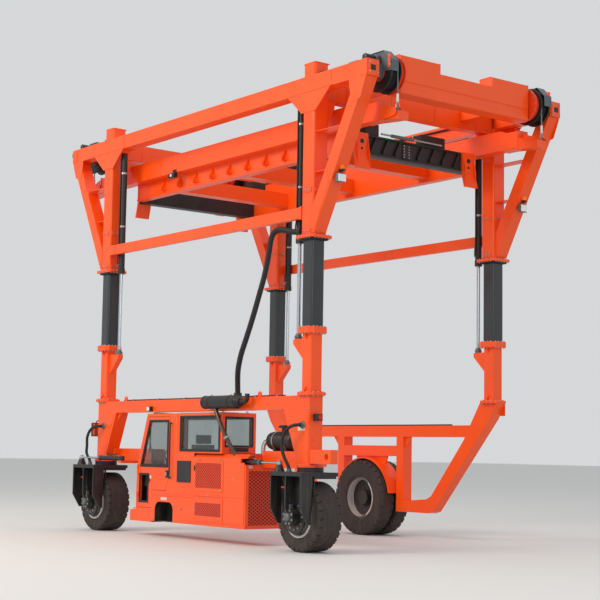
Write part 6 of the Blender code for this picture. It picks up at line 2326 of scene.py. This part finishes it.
# ------------------------------------------------------------------ engine side
@dataclass
class EngineSide:
    """Engine housing with its grilles and hatches, engine, silencer and air cleaner."""

    out: float = 2.02

    def build(self) -> None:
        """Dress the housing and what hangs round it."""
        self.housing()
        self.engine()
        self.exhaust()
        self.air_cleaner()

    def housing(self) -> None:
        """Dress the housing with panels, latches, meshes and trim."""
        # Faces in the step recess are painted black as its shade.
        hood = from_node(Shape(ORANGE), "engine_housing", 0.006, self.recess)
        near, far = self.out - 0.001, self.out + 0.008
        hood.use(ORANGE).slab(
            [(-0.96, 0.775), (-0.145, 0.775), (-0.145, 1.255), (-0.96, 1.255)], near, far, Axis.Y,
            0.003
        )
        hood.slab(
            [(-0.96, 0.31), (-0.13, 0.31), (-0.13, 0.675), (-0.96, 0.675)], near, far, Axis.Y,
            0.003
        )
        hood.slab(
            [(-1.52, 0.31), (-0.98, 0.31), (-0.98, 1.235), (-1.52, 1.235)], near, far, Axis.Y,
            0.003
        )
        hood.box((-1.54, near, 0.705), (-0.13, self.out + 0.016, 0.725), 0.004)
        hood.box((-0.115, near, 0.668), (1.09, far, 0.682), 0.003)
        hood.box((-1.55, near, 0.252), (0.40, self.out + 0.012, 0.285), 0.004)
        hood.use(GRILLE).box((-0.91, far - 0.001, 0.83), (-0.21, far + 0.003, 1.215), 0.001)
        hood.box((-0.91, far - 0.001, 0.40), (-0.21, far + 0.003, 0.60), 0.001)
        hood.box((-1.554, 1.42, 0.30), (-1.549, 1.98, 1.12), 0.001)
        hood.use(ORANGE).ring(
            [(1.40, 0.28), (1.995, 0.28), (1.995, 1.14), (1.40, 1.14)], 0.024, -1.560, -1.549,
            Axis.X, 0.003
        )
        hood.use(PLASTIC).box(
            (-0.03, self.out - 0.022, 0.90), (0.36, self.out - 0.008, 1.24), 0.010
        )
        hood.use(BLACK).slab(
            [
                (-0.200, 1.10), (-0.180, 1.09), (-0.160, 1.10), (-0.160, 1.17), (-0.180, 1.18),
                (-0.200, 1.17)
            ],
            far, far + 0.006, Axis.Y, 0.003
        )
        hood.use(ZINC)
        for x, z in ((-0.55, 0.715), (-0.20, 0.48), (-0.90, 0.80), (-1.25, 0.98), (0.20, 0.48)):
            hood.rod((x, near, z), (x, self.out + 0.018, z), 0.014, 20, 0.003)
        for x in (-0.85, -0.30):
            hood.rod(
                (x - 0.04, self.out + 0.008, 1.262), (x + 0.04, self.out + 0.008, 1.262), 0.007, 12
            )
        hood.bolts(
            [(x, self.out, 0.275) for x in (-1.45, -1.1, -0.75, -0.4, -0.05, 0.3, 1.05)],
            (0, 1, 0), 0.008, 0.007
        )
        hood.use(LABEL).box((0.62, self.out, 0.60), (0.80, self.out + 0.002, 0.645), 0.0005)
        hood.box((-1.551, 1.90, 1.155), (-1.553, 1.97, 1.20), 0.0005)
        # Black sheet on the step recess's floor: painted shade.
        hood.use(BLACK).box((0.46, 1.50, 0.252), (0.96, 1.98, 0.262), 0.002)
        for i in range(4):
            hood.box((-1.30 + 0.26 * i, 1.50, 1.364), (-1.14 + 0.26 * i, 1.86, 1.374), 0.003)
        hood.done("engine_housing_dressed", "driver_chassis", "orange_paint", "engine_housing")

    @staticmethod
    def recess(place: Vector) -> Finish:
        """Black in the step recess, painted shade for its dark inside; paint elsewhere."""
        inside = 0.43 < place.x < 0.99 and place.z < 0.58 and 1.74 < place.y < 2.015
        return BLACK if inside else ORANGE

    def engine(self) -> None:
        """Dress the engine block with its covers and their bolts."""
        low, high = (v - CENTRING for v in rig.box("engine_block"))
        engine = from_node(Shape(ENGINE_IRON), "engine_block", 0.012)
        for i in range(4):
            x = low.x + 0.10 + i * (high.x - low.x - 0.2) / 3
            engine.box(
                (x - 0.08, low.y + 0.03, high.z - 0.002), (x + 0.08, high.y - 0.03, high.z + 0.05),
                0.012
            )
            engine.use(ZINC).bolts(
                [(x, (low.y + high.y) / 2, high.z + 0.05)], (0, 0, 1), 0.012, 0.012
            )
            engine.use(ENGINE_IRON)
        engine.done("engine_dressed", "driver_chassis", "iron", "engine_block")

    def exhaust(self) -> None:
        """Dress the silencer with its bands, end rims and outlet."""
        y, z = 2.071, 2.155
        can = Shape(BLACK)
        can.turned(
            [
                (0.0, -1.44), (0.050, -1.44), (0.055, -1.43), (0.098, -1.375), (0.100, -1.36),
                (0.100, -0.515), (0.094, -0.503), (0.0, -0.500)
            ],
            (0, y, z), (1, 0, 0), 44
        )
        for x in (-1.36, -1.20, -0.68, -0.52):
            can.turned(
                [(0.099, x - 0.012), (0.1045, x - 0.012), (0.1045, x + 0.012), (0.099, x + 0.012)],
                (0, y, z), (1, 0, 0), 40
            )
        can.pipe(
            [
                (-1.43, y, z), (-1.50, y, z), (-1.56, y, z - 0.002), (-1.60, y, z + 0.02),
                (-1.615, y, z + 0.06), (-1.617, y, z + 0.115)
            ],
            0.036, 6, 5
        )
        can.use(HOT_PIPE).pipe(
            [
                (-0.75, y, z - 0.06), (-0.82, y, 1.99), (-0.92, 2.065, 1.82), (-1.01, 2.04, 1.66),
                (-1.11, 1.97, 1.44), (-1.19, 1.905, 1.27)
            ],
            0.033, 7, 5
        )
        can.use(BLACK).box((-1.26, 1.967, 2.05), (-1.14, 2.0, 2.24), 0.005)
        can.box((-0.74, 1.967, 2.05), (-0.62, 2.0, 2.24), 0.005)
        can.use(ZINC)
        for x in (-1.20, -0.68):
            can.bolts([(x, y, 2.2595)], (0, 0, 1), 0.010, 0.016)
        can.turned(
            [(0.034, 0.0), (0.042, 0.0), (0.042, 0.03), (0.034, 0.03)], (-1.04, 2.028, 1.60),
            (0.38, 0.25, 0.88), 24
        )
        can.done("exhaust_dressed", "driver_chassis", "black_paint", "exhaust_silencer", smooth=48)

    def air_cleaner(self) -> None:
        """Dress the air cleaner: ribbed can, bands, rain cap and elbow."""
        can = Shape(BLACK)
        y, z, r = 1.585, 1.572, 0.14
        profile = [(0.0, -2.20), (0.118, -2.20), (0.130, -2.19)]
        for i in range(12):
            x = -2.17 + i * 0.042
            profile += [(r - 0.006, x), (r, x + 0.008), (r, x + 0.022), (r - 0.006, x + 0.030)]
        profile += [(0.130, -1.63), (0.118, -1.62), (0.0, -1.62)]
        can.turned(profile, (0, y, z), (1, 0, 0), 48)
        can.turned(
            [
                (0.0, 1.70), (0.060, 1.70), (0.060, 1.767), (0.110, 1.767), (0.110, 1.795),
                (0.085, 1.807), (0.0, 1.807)
            ],
            (-1.95, y, 0.0), (0, 0, 1), 40
        )
        can.use(ZINC)
        for x in (-2.05, -1.78):
            can.turned(
                [
                    (r - 0.001, x - 0.014), (r + 0.003, x - 0.014), (r + 0.003, x + 0.014),
                    (r - 0.001, x + 0.014)
                ],
                (0, y, z), (1, 0, 0), 40
            )
        for i in range(3):
            angle = math.radians(30 + 120 * i)
            can.box(
                (-2.215, y + 0.10 * math.cos(angle) - 0.008, z + 0.10 * math.sin(angle) - 0.008),
                (-2.17, y + 0.10 * math.cos(angle) + 0.008, z + 0.10 * math.sin(angle) + 0.008),
                0.002
            )
        can.use(BLACK).turned(
            [(0.0, 0.0), (0.118, 0.0), (0.060, 0.060), (0.045, 0.07), (0.0, 0.07)], (-1.622, y, z),
            (1, 0, 0), 36
        )
        for x in (-2.05, -1.78):
            can.box((x - 0.03, y - 0.09, 1.4202), (x + 0.03, y + 0.09, 1.470), 0.006)
        can.use(CHROME).pipe(
            [
                (-1.56, y, z), (-1.50, y, z), (-1.45, y + 0.01, z - 0.03),
                (-1.425, y + 0.02, z - 0.09), (-1.42, y + 0.02, 1.38), (-1.42, y + 0.02, 1.366)
            ],
            0.034, 6, 5
        )
        can.use(ZINC).turned(
            [(0.034, 0.0), (0.040, 0.0), (0.040, 0.02), (0.034, 0.02)], (-1.53, y, z), (1, 0, 0),
            24
        )
        can.done("air_cleaner_dressed", "driver_chassis", "black_paint", "air_cleaner", smooth=48)


# ------------------------------------------------------------------ far side
@dataclass
class FarSide:
    """Far side frame with its diagonals and the twin wheel under its arch."""

    face: float = -1.946
    wheel_z: float = 0.64

    def build(self) -> None:
        """Dress the frame and the wheel."""
        frame_piece = from_node(Shape(ORANGE), "far_side_frame", 0.006)
        for sx in (-1, 1):
            x = sx * HALF_BASE
            frame_piece.use(ORANGE).box(
                (x - 0.17, self.face - 0.006, 2.03), (x + 0.17, self.face, 2.22), 0.002
            )
            frame_piece.slab(
                [(sx * 0.88, 1.70), (sx * 1.05, 1.70), (sx * 0.88, 1.50)], -1.80, -1.79, Axis.Y,
                0.002
            )
            frame_piece.use(ZINC).bolts(
                square_row(x, -HALF_TRACK, 2.2253, 0.145, 3), (0, 0, -1), 0.011, 0.016
            )
            frame_piece.bolts(
                [(sx * 0.785, self.face, z) for z in (0.75, 1.0, 1.25)], (0, -1, 0), 0.011, 0.011
            )
        frame_piece.use(RUBBER)
        for lane in (0.0, 0.03):
            frame_piece.pipe(
                [
                    (-1.9, -1.90 + lane, 1.892), (-0.9, -1.90 + lane, 1.891),
                    (0.0, -1.905 + lane, 1.892), (1.9, -1.90 + lane, 1.891)
                ],
                0.011, 5
            )
        frame_piece.done("far_frame_dressed", "far_chassis", "orange_paint", "far_side_frame")
        for node, y in (("far_tyre_inner", -1.6375), ("far_tyre_outer", -1.9825)):
            tyre = tyre_shape(Vector((0.0, y, self.wheel_z)), 0.64, 0.1370, 0.352, 30)
            tyre.done(f"{node}_lugged", "wheel_far", "tyre", node, smooth=42)
        rim = from_node(
            Shape(RIM_PAINT), "far_rim", 0.004, lambda p: BLACK
            if math.hypot(p.x, p.z - self.wheel_z) < 0.27 else RIM_PAINT
        )
        rim.use(ZINC)
        for face in (-1, 1):
            rim.bolts(
                circle((0.0, FAR_WHEEL + face * 0.10, self.wheel_z), 0.22, 10, Axis.Y),
                (0, face, 0), 0.014, 0.018
            )
        rim.done("far_rim_dressed", "wheel_far", "rim", "far_rim")


def main() -> None:
    """Build the machine in order, then write the sizes before and after."""
    logging.basicConfig(level=logging.INFO, format="%(message)s")
    Studio().build()
    for side in Side:
        for end in End:
            Leg(side, end).build()
            CornerFrame(side, end).build()
    TopBeams().build()
    for end in End:
        Winch(end).build()
        DriveUnit(end).build()
    Spreader().build()
    DriverFrame().build()
    Cab().build()
    EngineSide().build()
    FarSide().build()
    Umbilical().build()
    sizes = {"before": [list(v) for v in CAD_BOX], "after": [list(v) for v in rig.bounds()]}
    with open("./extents.json", "w", encoding="utf-8") as out:
        json.dump(sizes, out, indent=1)
    LOG.info("size: %s", sizes)


if __name__ == "__main__":
    main()
